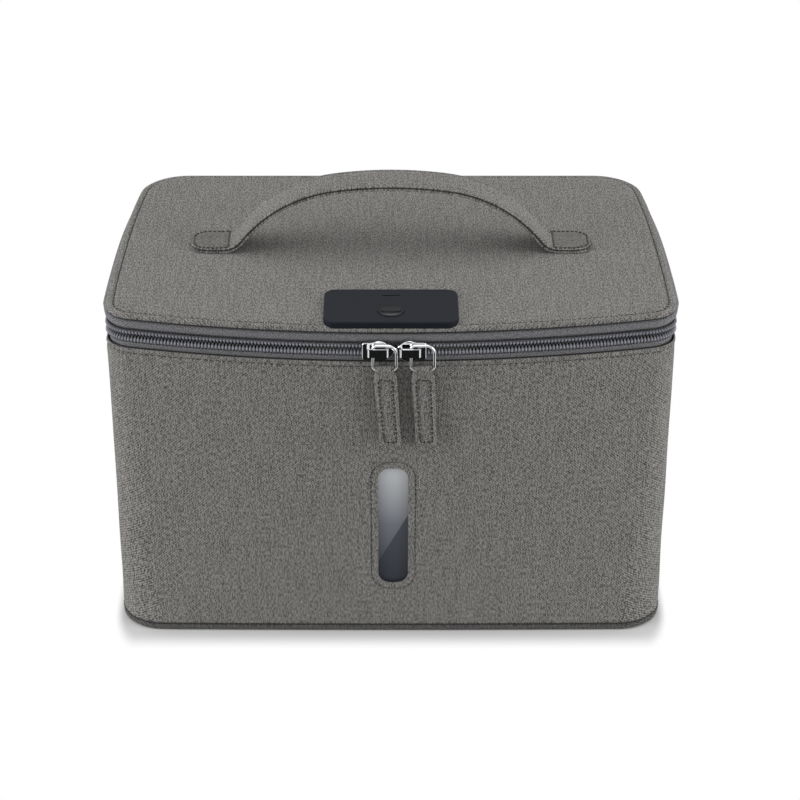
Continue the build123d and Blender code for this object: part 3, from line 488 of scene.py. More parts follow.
def add_patches(name: str, patches: list[Patch]) -> Piece:
    """Makes one object from several grids that share edges."""
    points, faces, flat, first = [], [], [], 0
    for patch in patches:
        rows, columns = patch.points.shape[:2]
        points.append(patch.points.reshape(-1, 3))
        flat.append(patch.flat.reshape(-1, 2))
        faces.append(quads(rows, columns) + first)
        first += rows * columns
    return add_mesh(name, np.concatenate(points), np.concatenate(faces), np.concatenate(flat))


def add_tube(name: str, grid: Array, flat: Array, axes: tuple[int, int] = (0, 2)) -> Piece:
    """Makes one object from a closed grid, with a cap on each end.

    Args:
        name: The piece's name.
        grid: Points as (around, along, 3), where the last row repeats the first.
        flat: Its flat map as (around, along, 2).
        axes: The axes that a cap's own flat map is taken from.

    Returns:
        The new object.
    """
    patches = [Patch(grid, flat)]
    for end in (0, -1):
        ring = grid[:, end]
        cap = np.stack([ring, np.broadcast_to(ring[:-1].mean(axis=0), ring.shape)])
        patches.append(Patch(cap, cap[..., list(axes)]))
    return add_patches(name, patches)


def scatter(name: str, shape: Array, places: Array, along: Array, out: Array) -> Piece:
    """Repeats a small grid at many places, each turned to its own directions.

    Args:
        name: The piece's name.
        shape: The grid as (rows, columns, 3), in steps along, outward and across, in mm.
        places: Middles as (n, 3).
        along: Unit directions as (n, 3).
        out: Unit directions as (n, 3), square to those.

    Returns:
        The new object.
    """
    across = np.cross(along, out)
    rows, columns = shape.shape[:2]
    local = shape.reshape(-1, 3)
    points = (
        places[:, None]
        + local[None, :, 0:1] * along[:, None]
        + local[None, :, 1:2] * out[:, None]
        + local[None, :, 2:3] * across[:, None]
    )
    faces = quads(rows, columns)[None] + (np.arange(len(places)) * len(local))[:, None, None]
    flat = np.broadcast_to(local[None, :, [0, 2]], (len(places), len(local), 2))
    return add_mesh(name, points.reshape(-1, 3), faces.reshape(-1, 4), flat.reshape(-1, 2))


def path_length(points: Array) -> Array:
    """Distance along a line of points at each point."""
    steps = np.linalg.norm(np.diff(points, axis=0), axis=1)
    return np.concatenate([[0.0], np.cumsum(steps)])


def along_path(points: Array, values: Array, at: Array) -> Array:
    """Reads values given at a line's points, at distances along it."""
    length = path_length(points)
    return np.stack([np.interp(at, length, values[:, k]) for k in range(values.shape[1])], axis=-1)


def unit_rows(vectors: Array) -> Array:
    """Each row as a vector one long."""
    return vectors / np.linalg.norm(vectors, axis=-1, keepdims=True)


def mirrored(share: Array, rise: Array) -> Array:
    """A section from its half, which ends in its middle: shares of a half width, and rises."""
    across = np.concatenate([-share, share[-2::-1]])
    return np.stack([across, np.concatenate([rise, rise[-2::-1]])], axis=-1)


def capsule(half_length: float, radius: float, rings: int = 5, sides: int = 6) -> Array:
    """A rounded rod along its first axis: circles whose radius falls as a half ellipse.

    Args:
        half_length: Half of its length, in mm.
        radius: Its radius, in mm.
        rings: Circles along it, the two end points among them.
        sides: Points round each circle.

    Returns:
        A grid as (rings, sides + 1, 3).
    """
    place = np.linspace(-1, 1, rings)
    girth = radius * np.sqrt(np.clip(1 - place**4, 0, 1))
    turn = np.linspace(0, 2 * np.pi, sides + 1)
    return np.stack(
        [
            np.broadcast_to(half_length * place[:, None], (rings, sides + 1)),
            girth[:, None] * np.cos(turn),
            girth[:, None] * np.sin(turn),
        ],
        axis=-1,
    )


@dataclass(frozen=True)
class Stitching:
    """A row of lockstitches: short rods of thread, half sunk in the cloth."""

    length: float = 2.5
    gap: float = 1.0
    thread: float = 0.6
    squared: bool = True

    def sew(self, name: str, line: Array, out: Array, body: Body) -> Piece:
        """Lays stitches along a line of points.

        Args:
            name: The piece's name.
            line: Points as (n, 3).
            out: Outward directions at them as (n, 3).
            body: The body that the stitches ride on.

        Returns:
            The new object.
        """
        total = path_length(line)[-1]
        count = int(total / (self.length + self.gap))
        at = (np.arange(count) + 0.5) * total / count
        half = self.length / 2
        start, end = (along_path(line, line, at + side) for side in (-half, half))
        along = unit_rows(end - start)
        normal = along_path(line, out, at)
        if self.squared:
            normal = unit_rows(normal - (normal * along).sum(-1, keepdims=True) * along)
        rod = capsule(half, self.thread / 2)
        piece = scatter(name, rod, (start + end) / 2, along, normal)
        return dress(piece, SEWING_THREAD, body)


def dress(
    piece: Piece,
    finish: WovenCloth | SolidFinish,
    body: Body | tuple[Body, Body],
    replaces: tuple[str, ...] = (),
) -> Piece:
    """Gives a piece its finish, hides the frame's nodes that it stands for, and puts it on its
    body.

    Args:
        piece: The piece.
        finish: Its finish.
        body: The body that it rides on, or two that it lies between, in which case it rides on
            neither.
        replaces: Nodes of the frame that it stands for.

    Returns:
        The same piece.
    """
    piece.data.materials.append(made(finish))
    if replaces:
        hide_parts(*replaces)
    if isinstance(body, Body):
        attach(piece, body.value)
    return piece


MADE: dict[str, Material] = {}


def made(finish: WovenCloth | SolidFinish | SheetWithPaintedReflection) -> Material:
    """The material of a finish, made once."""
    if finish.name not in MADE:
        MADE[finish.name] = finish.make()
    return MADE[finish.name]


# Outline


def with_z(flat: Array, z: Array | float) -> Array:
    """Adds heights to level points."""
    high = np.broadcast_to(z, flat.shape[:-1])[..., None]
    return np.concatenate([flat, high], axis=-1)


def fill_level(edge: Array, z: float, spine: float, rows: int) -> Array:
    """Level rows from a closed line to a spine along X.

    Args:
        edge: The line as (n, 2).
        z: Their height.
        spine: Half of the spine's length.
        rows: How many rows there are.

    Returns:
        Points as (rows, n, 3).
    """
    share = np.linspace(0, 1, rows)[:, None, None]
    middle = np.stack([np.clip(edge[:, 0], -spine, spine), 0 * edge[:, 1]], axis=-1)
    return with_z((1 - share) * edge + share * middle, z)


@dataclass(frozen=True)
class Plan:
    """Outline seen from above: bowed front and sides, a straight back, round corners."""

    half_width: float
    half_depth: float
    front_radius: float
    front_corner: float
    back_corner: float = 28.0
    side_radius: float = 1150.0
    widest_y: float = -56.0
    counts: tuple[int, ...] = (48, 14, 50, 16, 28)

    @property
    def front_centre(self) -> Array:
        """Centre of the front's arc."""
        return np.array([0.0, self.front_radius - self.half_depth])

    @property
    def side_centre(self) -> Array:
        """Centre of the right side's arc."""
        return np.array([self.half_width - self.side_radius, self.widest_y])

    @property
    def front_corner_centre(self) -> Array:
        """Where circles round both arcs' centres meet, one corner radius inside."""
        a, b = self.front_centre, self.side_centre
        front, side = self.front_radius - self.front_corner, self.side_radius - self.front_corner
        apart = np.linalg.norm(b - a)
        u = (b - a) / apart
        along = (front**2 - side**2 + apart**2) / (2 * apart)
        across = math.sqrt(front**2 - along**2)
        return a + along * u + across * np.array([-u[1], u[0]])

    @property
    def back_corner_centre(self) -> Array:
        """One corner radius inside the back and the side's arc."""
        b, y = self.side_centre, self.half_depth - self.back_corner
        reach = self.side_radius - self.back_corner
        return np.array([b[0] + math.sqrt(reach**2 - (y - b[1]) ** 2), y])

    def half(self, inset: Array) -> Array:
        """Right half, from the middle of the front to the middle of the back.

        Args:
            inset: How far inside the outline, as (rows,), in mm.

        Returns:
            Points as (rows, n, 2).
        """
        a, b = self.front_centre, self.side_centre
        c, d = self.front_corner_centre, self.back_corner_centre
        turns = [
            -np.pi / 2,
            math.atan2(c[1] - a[1], c[0] - a[0]),
            math.atan2(c[1] - b[1], c[0] - b[0]),
            math.atan2(d[1] - b[1], d[0] - b[0]),
            np.pi / 2,
        ]
        radii = [self.front_radius, self.front_corner, self.side_radius, self.back_corner]
        runs = []
        for number, (centre, radius) in enumerate(zip((a, c, b, d), radii)):
            turn = np.linspace(turns[number], turns[number + 1], self.counts[number] + 1)[:-1]
            reach = (radius - inset)[:, None, None]
            runs.append(centre + reach * np.stack([np.cos(turn), np.sin(turn)], axis=-1))
        x = np.linspace(d[0], 0.0, self.counts[-1] + 1)
        y = self.half_depth - inset[:, None] + 0 * x
        back = np.stack([np.broadcast_to(x, y.shape), y], axis=-1)
        return np.concatenate([*runs, back], axis=1)

    def loop(self, inset: Array) -> Array:
        """The whole outline from the middle of the back, by the left side, as (rows, n, 2)."""
        half = self.half(np.asarray(inset, dtype=float))
        left = half[:, ::-1] * np.array([-1.0, 1.0])
        return np.concatenate([left, half[:, 1:]], axis=1)

    def front_y(self, x: Array, inset: float) -> Array:
        """Where the front is at a given X."""
        return self.front_centre[1] - np.sqrt((self.front_radius - inset) ** 2 - x**2)

    def to_middle(self, inset: float, z: float, spine: float, rows: int) -> Array:
        """Flat rows from the outline to a spine along X, as (rows, n, 3)."""
        return fill_level(self.loop([inset])[0], z, spine, rows)


LID_PLAN = Plan(165.0, 109.0, 665.0, 18.0)
BASE_PLAN = Plan(163.3, 107.8, 9400.0, 26.0)
FRONT_MIDDLE = sum(LID_PLAN.counts)


def outward(loop: Array) -> Array:
    """Level outward directions at the points of lines run with the outside on their right."""
    along = np.gradient(loop, axis=-2)
    out = np.stack([along[..., 1], -along[..., 0]], axis=-1)
    return unit_rows(out)


def rim(level: Array, z: Array | float) -> tuple[Array, Array]:
    """A level line at its height, and the level outward directions at its points."""
    return with_z(level, z), with_z(outward(level), 0.0)


@dataclass(frozen=True)
class WallForm:
    """The leaning walls: straight lines from the base's outline to the mouth's."""

    setback: float = 1.2
    low_z: float = 4.3
    straight_z: float = 174.0
    side_bulge: float = 1.5

    def share(self, z: Array) -> Array:
        """How far up the lean a height is, from nought to one."""
        return np.clip((z - self.low_z) / (self.straight_z - self.low_z), 0, 1)

    def rings(self, inset: Array, z: Array) -> Array:
        """The outline at insets and heights, as (rows, n, 3)."""
        inset, z = np.asarray(inset, dtype=float), np.asarray(z, dtype=float)
        t = self.share(z)[:, None, None]
        level = (1 - t) * BASE_PLAN.loop(inset) + t * LID_PLAN.loop(inset + self.setback)
        out = outward(level)
        level = level + out * (self.side_bulge * t**1.6 * out[..., 0:1] ** 4)
        return with_z(level, z[:, None])

    def front_y(self, x: Array, z: Array, inset: float) -> Array:
        """Where the front wall is at a given X and Z."""
        t = self.share(z)
        low, high = BASE_PLAN.front_y(x, inset), LID_PLAN.front_y(x, inset + self.setback)
        return (1 - t) * low + t * high


WALLS = WallForm()
AROUND = path_length(LID_PLAN.loop([0.0])[0])


def ripple(s: Array, z: Array, seed: int, reach: float) -> Array:
    """Soft uneven waves of cloth: a few sines of unlike lengths, added up."""
    draw = np.random.default_rng(seed)
    total = 0.0
    for _ in range(5):
        wave_s, wave_z = draw.uniform(45, 130), draw.uniform(50, 150)
        total = total + np.sin(2 * np.pi * s / wave_s + draw.uniform(0, 6.3)) * np.sin(
            2 * np.pi * z / wave_z + draw.uniform(0, 6.3)
        )
    return reach * total / 5


def ease(share: Array) -> Array:
    """Goes smoothly from nought to one as a share does."""
    share = np.clip(share, 0, 1)
    return share * share * (3 - 2 * share)


def valley(at: Array, middle: float, width: float) -> Array:
    """A groove's depth across it: a bell curve one deep."""
    return np.exp(-(((at - middle) / width) ** 2))


@dataclass(frozen=True)
class Window:
    """The narrow opening in the front wall."""

    half_width: float = 8.8
    middle_x: float = 1.3
    low: float = 34.2
    high: float = 112.6
    round: float = 6.8
    stitch_reach: float = 4.1
    columns: int = 7
    reaches: Array = field(
        default_factory=lambda: np.concatenate([[0, 0.25], np.linspace(0.6, 7.8, 16)])
    )

    def nearest(self, x: Array, z: Array) -> tuple[Array, Array]:
        """The opening's edge nearest to each point.

        The edge is every point one corner radius from a straight-sided core.
        """
        core = self.half_width - self.round
        core_x = np.clip(x, self.middle_x - core, self.middle_x + core)
        core_z = np.clip(z, self.low + self.round, self.high - self.round)
        gap = np.hypot(x - core_x, z - core_z)
        return core_x + (x - core_x) / gap * self.round, core_z + (z - core_z) / gap * self.round

    def outline(self, reach: float) -> tuple[Array, Array]:
        """A closed line a given reach outside the opening: straight sides and round corners."""
        corner = np.linspace(0, np.pi / 2, 12)
        size = self.round + reach
        core_x, core_z = self.half_width - self.round, (self.high - self.low) / 2 - self.round
        runs_x, runs_z = [], []
        for quarter, (side_x, side_z) in enumerate(((1, 1), (-1, 1), (-1, -1), (1, -1))):
            turn = corner + quarter * np.pi / 2
            runs_x.append(side_x * core_x + size * np.cos(turn))
            runs_z.append(side_z * core_z + size * np.sin(turn))
        x, z = np.concatenate(runs_x), np.concatenate(runs_z)
        line = np.stack([np.append(x, x[0]), np.append(z, z[0])], axis=-1)
        even = np.linspace(0, path_length(line)[-1], 400)
        line = along_path(line, line, even)
        return self.middle_x + line[:, 0], (self.high + self.low) / 2 + line[:, 1]


@dataclass(frozen=True)
class WallSheet:
    """A sheet round the walls, given by its section and cut for the window."""

    window: Window
    insets: Array
    heights: Array
    hem: tuple[tuple[float, float], ...]
    seed: int
    wave: float
    stitched: bool
    calm_low: float = 12.0
    calm_high: float = 176.0
    calm_reach: float = 20.0
    pucker: float = 0.2
    pucker_length: float = 8.7
    pucker_z: float = 177.0
    seam_z: float = 179.2
    edge_z: float = 181.0
    groove: float = 0.55

    def surface(self) -> list[Patch]:
        """Grids of the sheet: the walls less a panel, and rings in it round the window.

        Each ring's points lie on straight lines from the panel's border to the nearest
        point of the opening.
        """
        points = WALLS.rings(self.insets, self.heights)
        s, z = np.meshgrid(AROUND, self.heights)
        out = np.concatenate([outward(points[..., :2]), np.zeros((*points.shape[:2], 1))], axis=-1)
        points = points + out * self.swell(s, z)[..., None]
        flat = np.stack([s - FRONT_S, z], axis=-1)
        left = FRONT_MIDDLE - self.window.columns
        right = FRONT_MIDDLE + self.window.columns
        low = int(np.searchsorted(self.heights_up, self.window.low - 15.0))
        high = int(np.searchsorted(self.heights_up, self.window.high + 15.0))
        patches = [
            Patch(points[: low + 1], flat[: low + 1]),
            Patch(points[high:], flat[high:]),
            Patch(points[low : high + 1, : left + 1], flat[low : high + 1, : left + 1]),
            Patch(points[low : high + 1, right:], flat[low : high + 1, right:]),
        ]
        panel = (slice(low, high + 1), slice(left, right + 1))
        back = slice(-2, None, -1)
        border = [(0, slice(None)), (slice(1, None), -1), (-1, back), (back, 0)]
        edge = np.concatenate([points[panel][key] for key in border])
        edge_flat = np.concatenate([flat[panel][key] for key in border])
        patches.append(self.window_rings(edge, edge_flat))
        return patches

    @property
    def heights_up(self) -> Array:
        """Heights of the section, made never to fall, so that they can be searched."""
        return np.maximum.accumulate(self.heights)

    def swell(self, s: Array, z: Array) -> Array:
        """How far the cloth stands out: waves, puckers under the seam, and its groove."""
        low, high = (z - self.calm_low) / self.calm_reach, (self.calm_high - z) / self.calm_reach
        total = ripple(s, z, self.seed, self.wave) * (np.clip(low, 0, 1) * np.clip(high, 0, 1))
        if self.stitched:
            pucker = np.sin(2 * np.pi * s / self.pucker_length + 2.2 * np.sin(s / 23.0))
            total = total + self.pucker * pucker * np.exp(-np.abs(z - self.pucker_z) / 4.0)
            total = total - self.groove * valley(z, self.seam_z, 0.8)
            total = total + 0.25 * valley(z, self.edge_z, 1.2)
        return total

    def window_rings(self, edge: Array, edge_flat: Array) -> Patch:
        """Rings round the window from the panel's border to the turned hem."""
        near_x, near_z = self.window.nearest(edge[:, 0], edge[:, 2])
        gap = np.hypot(edge[:, 0] - near_x, edge[:, 2] - near_z)
        reach = self.window.reaches[:, None]
        share = np.minimum(reach / gap, 0.97)
        x = near_x + share * (edge[:, 0] - near_x)
        z = near_z + share * (edge[:, 2] - near_z)
        inset = float(np.min(self.insets[np.abs(self.heights - 90) < 30]))
        y = WALLS.front_y(x, z, inset)
        if self.stitched:
            away = share * gap
            y = y + self.groove * valley(away, self.window.stitch_reach, 0.55)
            y = y - 0.3 * valley(away, self.window.stitch_reach / 2, 1.6)
        s = edge_flat[:, 0] + x - edge[:, 0]
        rows = [np.stack([x, y, z], axis=-1), edge[None]]
        flats = [np.stack([s, z], axis=-1), edge_flat[None]]
        first = rows[0][0]
        turned = []
        for inward, back in self.hem:
            step = np.stack([first[:, 0] - near_x, 0 * near_x, first[:, 2] - near_z], axis=-1)
            centre = np.stack([edge[:, 0] - near_x, 0 * near_x, edge[:, 2] - near_z], axis=-1)
            moved = first + step + unit_rows(centre) * -inward
            moved[:, 1] = first[:, 1] + back
            turned.append(moved)
        hem = np.stack(turned[::-1])
        hem_flat = np.stack([hem[..., 0], hem[..., 2]], axis=-1)
        return Patch(np.concatenate([hem, *rows]), np.concatenate([hem_flat, *flats]))


FRONT_S = float(AROUND[FRONT_MIDDLE])


# The case


@dataclass
class CaseBody:
    """The body: outer cloth, window hem, lining and base."""

    window: Window = field(default_factory=Window)
    seam_stitch_z: float = 179.2
    base_seam_z: float = 4.75
    floor_z: float = 9.1
    row_step: float = 3.0

    def outer_cloth(self) -> Piece:
        """Canvas of the four walls, turned in at the base seam and over at the zip seam."""
        low = [(1.5, 6.2), (1.1, 5.0), (0.45, 4.75), (0.08, 5.2), (0.0, 6.3)]
        rows = np.arange(8.5, 172.0, self.row_step)
        fine = np.arange(172.5, 181.6, 0.55)
        high = [(0.05, 181.8), (0.3, 182.25), (0.65, 182.4), (0.95, 182.15), (1.1, 180.6)]
        middle = [(0.0, z) for z in np.concatenate([rows, fine])]
        insets, heights = np.array([*low, *middle, *high]).T
        hem = ((0.02, 0.25), (0.0, 0.8), (-0.2, 1.35), (-3.0, 1.45))
        sheet = WallSheet(self.window, insets, heights, hem, seed=3, wave=0.5, stitched=True)
        piece = add_patches("case_cloth", sheet.surface())
        dress(piece, HEATHER_TWILL, Body.CASE, ("case_outer_fabric", "window_binding"))
        return piece

    def stitches(self) -> list[Piece]:
        """Rows of stitches under the zip seam and round the window."""
        loop = WALLS.rings(np.array([0.42]), np.array([self.seam_stitch_z]))[0]
        line, out = rim(loop[:, :2], loop[:, 2])
        pieces = [Stitching().sew("case_seam_stitches", line, out, Body.CASE)]
        x, z = self.window.outline(self.window.stitch_reach)
        y = WALLS.front_y(x, z, 0.0) + 0.32
        line = np.stack([x, y, z], axis=-1)
        front = np.broadcast_to([0.0, -1.0, 0.0], line.shape)
        fine = Stitching(length=2.1, gap=0.9, thread=0.55)
        pieces.append(fine.sew("window_stitches", line, front, Body.CASE))
        line, out = rim(BASE_PLAN.loop([-0.05])[0], self.base_seam_z)
        tight = Stitching(length=3.0, gap=0.1, thread=0.75)
        pieces.append(tight.sew("base_seam_stitches", line, out, Body.CASE))
        return pieces

    def lining(self) -> Piece:
        """Aluminised lining, from the zip tape over the foam's top and down the walls."""
        rim = [(2.3, 182.6), (2.35, 184.0), (2.8, 184.5), (4.2, 184.7), (5.7, 184.5), (6.45, 183.7)]
        rows = [(6.5, z) for z in np.arange(181.0, 9.0, -4.0)]
        insets, heights = np.array([*rim, *rows][::-1]).T
        hem = ((0.0, -0.3), (0.0, -0.9))
        sheet = WallSheet(self.window, insets, heights, hem, seed=8, wave=0.35, stitched=False)
        piece = add_patches("case_inner_lining", sheet.surface())
        dress(piece, METAL_FILM, Body.CASE, ("case_lining", "case_foam_wall"))
        return piece

    def floor(self) -> Piece:
        """Lining over the base pad, turned down at its edge."""
        insets, heights = np.array([(7.3, 5.8), (7.3, 8.4), (7.5, 8.9), (8.2, 9.1)]).T
        edge = with_z(BASE_PLAN.loop(insets), heights[:, None])
        inner = BASE_PLAN.to_middle(8.4, self.floor_z, 100.0, 22)
        grid = np.concatenate([edge, inner])
        waves = ripple(grid[..., 0], grid[..., 1], 21, 0.25)
        grid[..., 2] += np.where(grid[..., 2] > 9.0, waves, 0)
        piece = add_patches("case_floor_lining", [Patch(grid, grid[..., :2].copy())])
        dress(piece, METAL_FILM, Body.CASE, ("base_lining", "base_foam"))
        return piece

    def base(self) -> Piece:
        """Base cloth, with a soft welt below the seam and a flat underside."""
        section = np.array(
            [(2.2, 4.2), (1.3, 4.4), (0.4, 4.2), (-0.1, 3.4), (-0.2, 2.1), (0.1, 0.9), (0.9, 0.2),
             (2.4, 0.0)]
        )
        edge = with_z(BASE_PLAN.loop(section[:, 0]), section[:, 1:2])
        grid = np.concatenate([edge, BASE_PLAN.to_middle(6.0, 0.0, 100.0, 16)])
        s = np.broadcast_to(AROUND, grid.shape[:2])
        flat = np.where(
            (np.arange(len(grid)) < len(section))[:, None, None],
            np.stack([s, grid[..., 2]], axis=-1),
            grid[..., :2],
        )
        piece = add_patches("base_cloth", [Patch(grid, flat)])
        dress(piece, BASE_TWILL_SHADED, Body.CASE, ("base_outer_panel",))
        return piece

    def build(self) -> list[Piece]:
        """Makes every piece of the case."""
        return [self.outer_cloth(), *self.stitches(), self.lining(), self.floor(), self.base()]


# The lid


@dataclass
class LidBody:
    """The lid: outer cloth with a sewn welt round its edge, and its lining."""

    top_z: float = 205.0
    groove: float = 3.0
    edge: float = 0.3
    edge_side: float = 0.1
    edge_back: float = -1.8
    side_stretch: float = 1.62
    spine: float = 110.0
    panel_half: float = 38.5
    panel_back: float = -63.8
    pressed_front_z: float = 202.85
    pressed_z: float = 204.85
    press_reach: float = 6.0
    thread_z: float = 204.32
    thread_end_y: float = 92.0

    def spread(self, inset: Array) -> Array:
        """The lid's outline at insets given for the front.

        The edge stands out over the back, and the welt is wider at the sides, so the inset
        is moved and stretched along the outline.
        """
        level = LID_PLAN.loop([0.0])[0]
        out = outward(level)
        back = ease((level[:, 1] + 30.0) / 125.0)
        side = np.maximum(out[:, 0] ** 2, back)
        edge = (1 - side) * self.edge + side * self.edge_side
        edge = (1 - back) * edge + back * self.edge_back
        front = np.asarray(inset, dtype=float)[:, None]
        welt = np.minimum(front, self.groove) - self.edge
        stretch = 1 + (self.side_stretch - 1) * side[None]
        total = edge + welt * stretch + np.maximum(front - self.groove, 0)
        return level - out * total[..., None]

    def cover(self) -> Piece:
        """Canvas of the lid: hem, rolled welt, sewn groove, and the flat field."""
        section = np.array(
            [
                (2.3, 203.4), (2.0, 202.0), (1.5, 201.5), (0.95, 201.45), (0.5, 201.8),
                (0.3, 202.5), (0.35, 203.3), (0.65, 204.05), (1.15, 204.55), (1.8, 204.75),
                (2.4, 204.6), (2.8, 204.3), (3.0, 204.15), (3.3, 204.35), (4.0, 204.75),
                (5.2, 205.0), (7.0, 205.08), (10.0, 205.08),
            ]
        )
        edge = with_z(self.spread(section[:, 0]), section[:, 1:2])
        s = np.broadcast_to(AROUND, edge.shape[:2])
        pucker = 0.07 * np.sin(2 * np.pi * s / 9.1 + 2.0 * np.sin(s / 31.0))
        edge[..., 2] += pucker * valley(section[:, 0], 4.6, 1.6)[:, None]
        inner = fill_level(self.spread([12.0])[0], self.top_z + 0.05, self.spine, 26)
        grid = np.concatenate([edge, inner])
        top = np.arange(len(grid))[:, None] >= len(section)
        grid[..., 2] += np.where(top, ripple(grid[..., 0], grid[..., 1], 12, 0.12), 0)
        grid[..., 2] = self.pressed(grid)
        flat = grid[..., :2].copy()
        flat[: len(section), :, 1] += 0.7 * (grid[: len(section), :, 2] - self.top_z)
        piece = add_patches("lid_cloth", [Patch(grid, flat)])
        dress(piece, HEATHER_TWILL, Body.LID, ("lid_outer_fabric", "lid_foam"))
        return piece

    def pressed(self, grid: Array) -> Array:
        """Heights of the cover, pressed down where the control panel sits on it."""
        x, y, z = np.moveaxis(grid, -1, 0)
        inset = y + LID_PLAN.half_depth
        ceiling = np.minimum(self.pressed_front_z + 0.5 * inset, self.pressed_z)
        beside = np.clip((np.abs(x) - self.panel_half - 0.5) / self.press_reach, 0, 1)
        behind = np.clip((y - self.panel_back - 0.5) / self.press_reach, 0, 1)
        off = np.maximum(beside, behind)
        return np.minimum(z, ceiling + (z.max() - 202.0) * off)

    def stitches(self) -> list[Piece]:
        """Stitches in the welt's groove, round the front and the sides."""
        loop = with_z(self.spread([self.groove])[0], self.thread_z)
        loop = loop[loop[:, 1] < self.thread_end_y]
        away = np.abs(loop[:, 0]) > self.panel_half + 1.0
        runs = [loop[away & (loop[:, 0] < 0)], loop[away & (loop[:, 0] > 0)]]
        row = Stitching(length=2.6, gap=0.5, thread=0.85)
        pieces = []
        for hand, run in zip(("left", "right"), runs):
            up = np.broadcast_to([0.0, 0.0, 1.0], run.shape)
            pieces.append(row.sew(f"lid_welt_stitches_{hand}", run, up, Body.LID))
        return pieces

    def lining(self) -> Piece:
        """Aluminised lining under the lid's board."""
        insets, heights = np.array([(3.5, 199.5), (3.6, 198.1), (4.0, 197.8)]).T
        edge = with_z(LID_PLAN.loop(insets), heights[:, None])
        inner = LID_PLAN.to_middle(5.0, 197.75, self.spine, 24)
        grid = np.concatenate([edge, inner])
        piece = add_patches("lid_inner_lining", [Patch(grid, grid[..., :2].copy())])
        dress(piece, METAL_FILM, Body.LID, ("lid_lining",))
        return piece

    def build(self) -> list[Piece]:
        """Makes every piece of the lid's body."""
        return [self.cover(), *self.stitches(), self.lining()]


# The zip


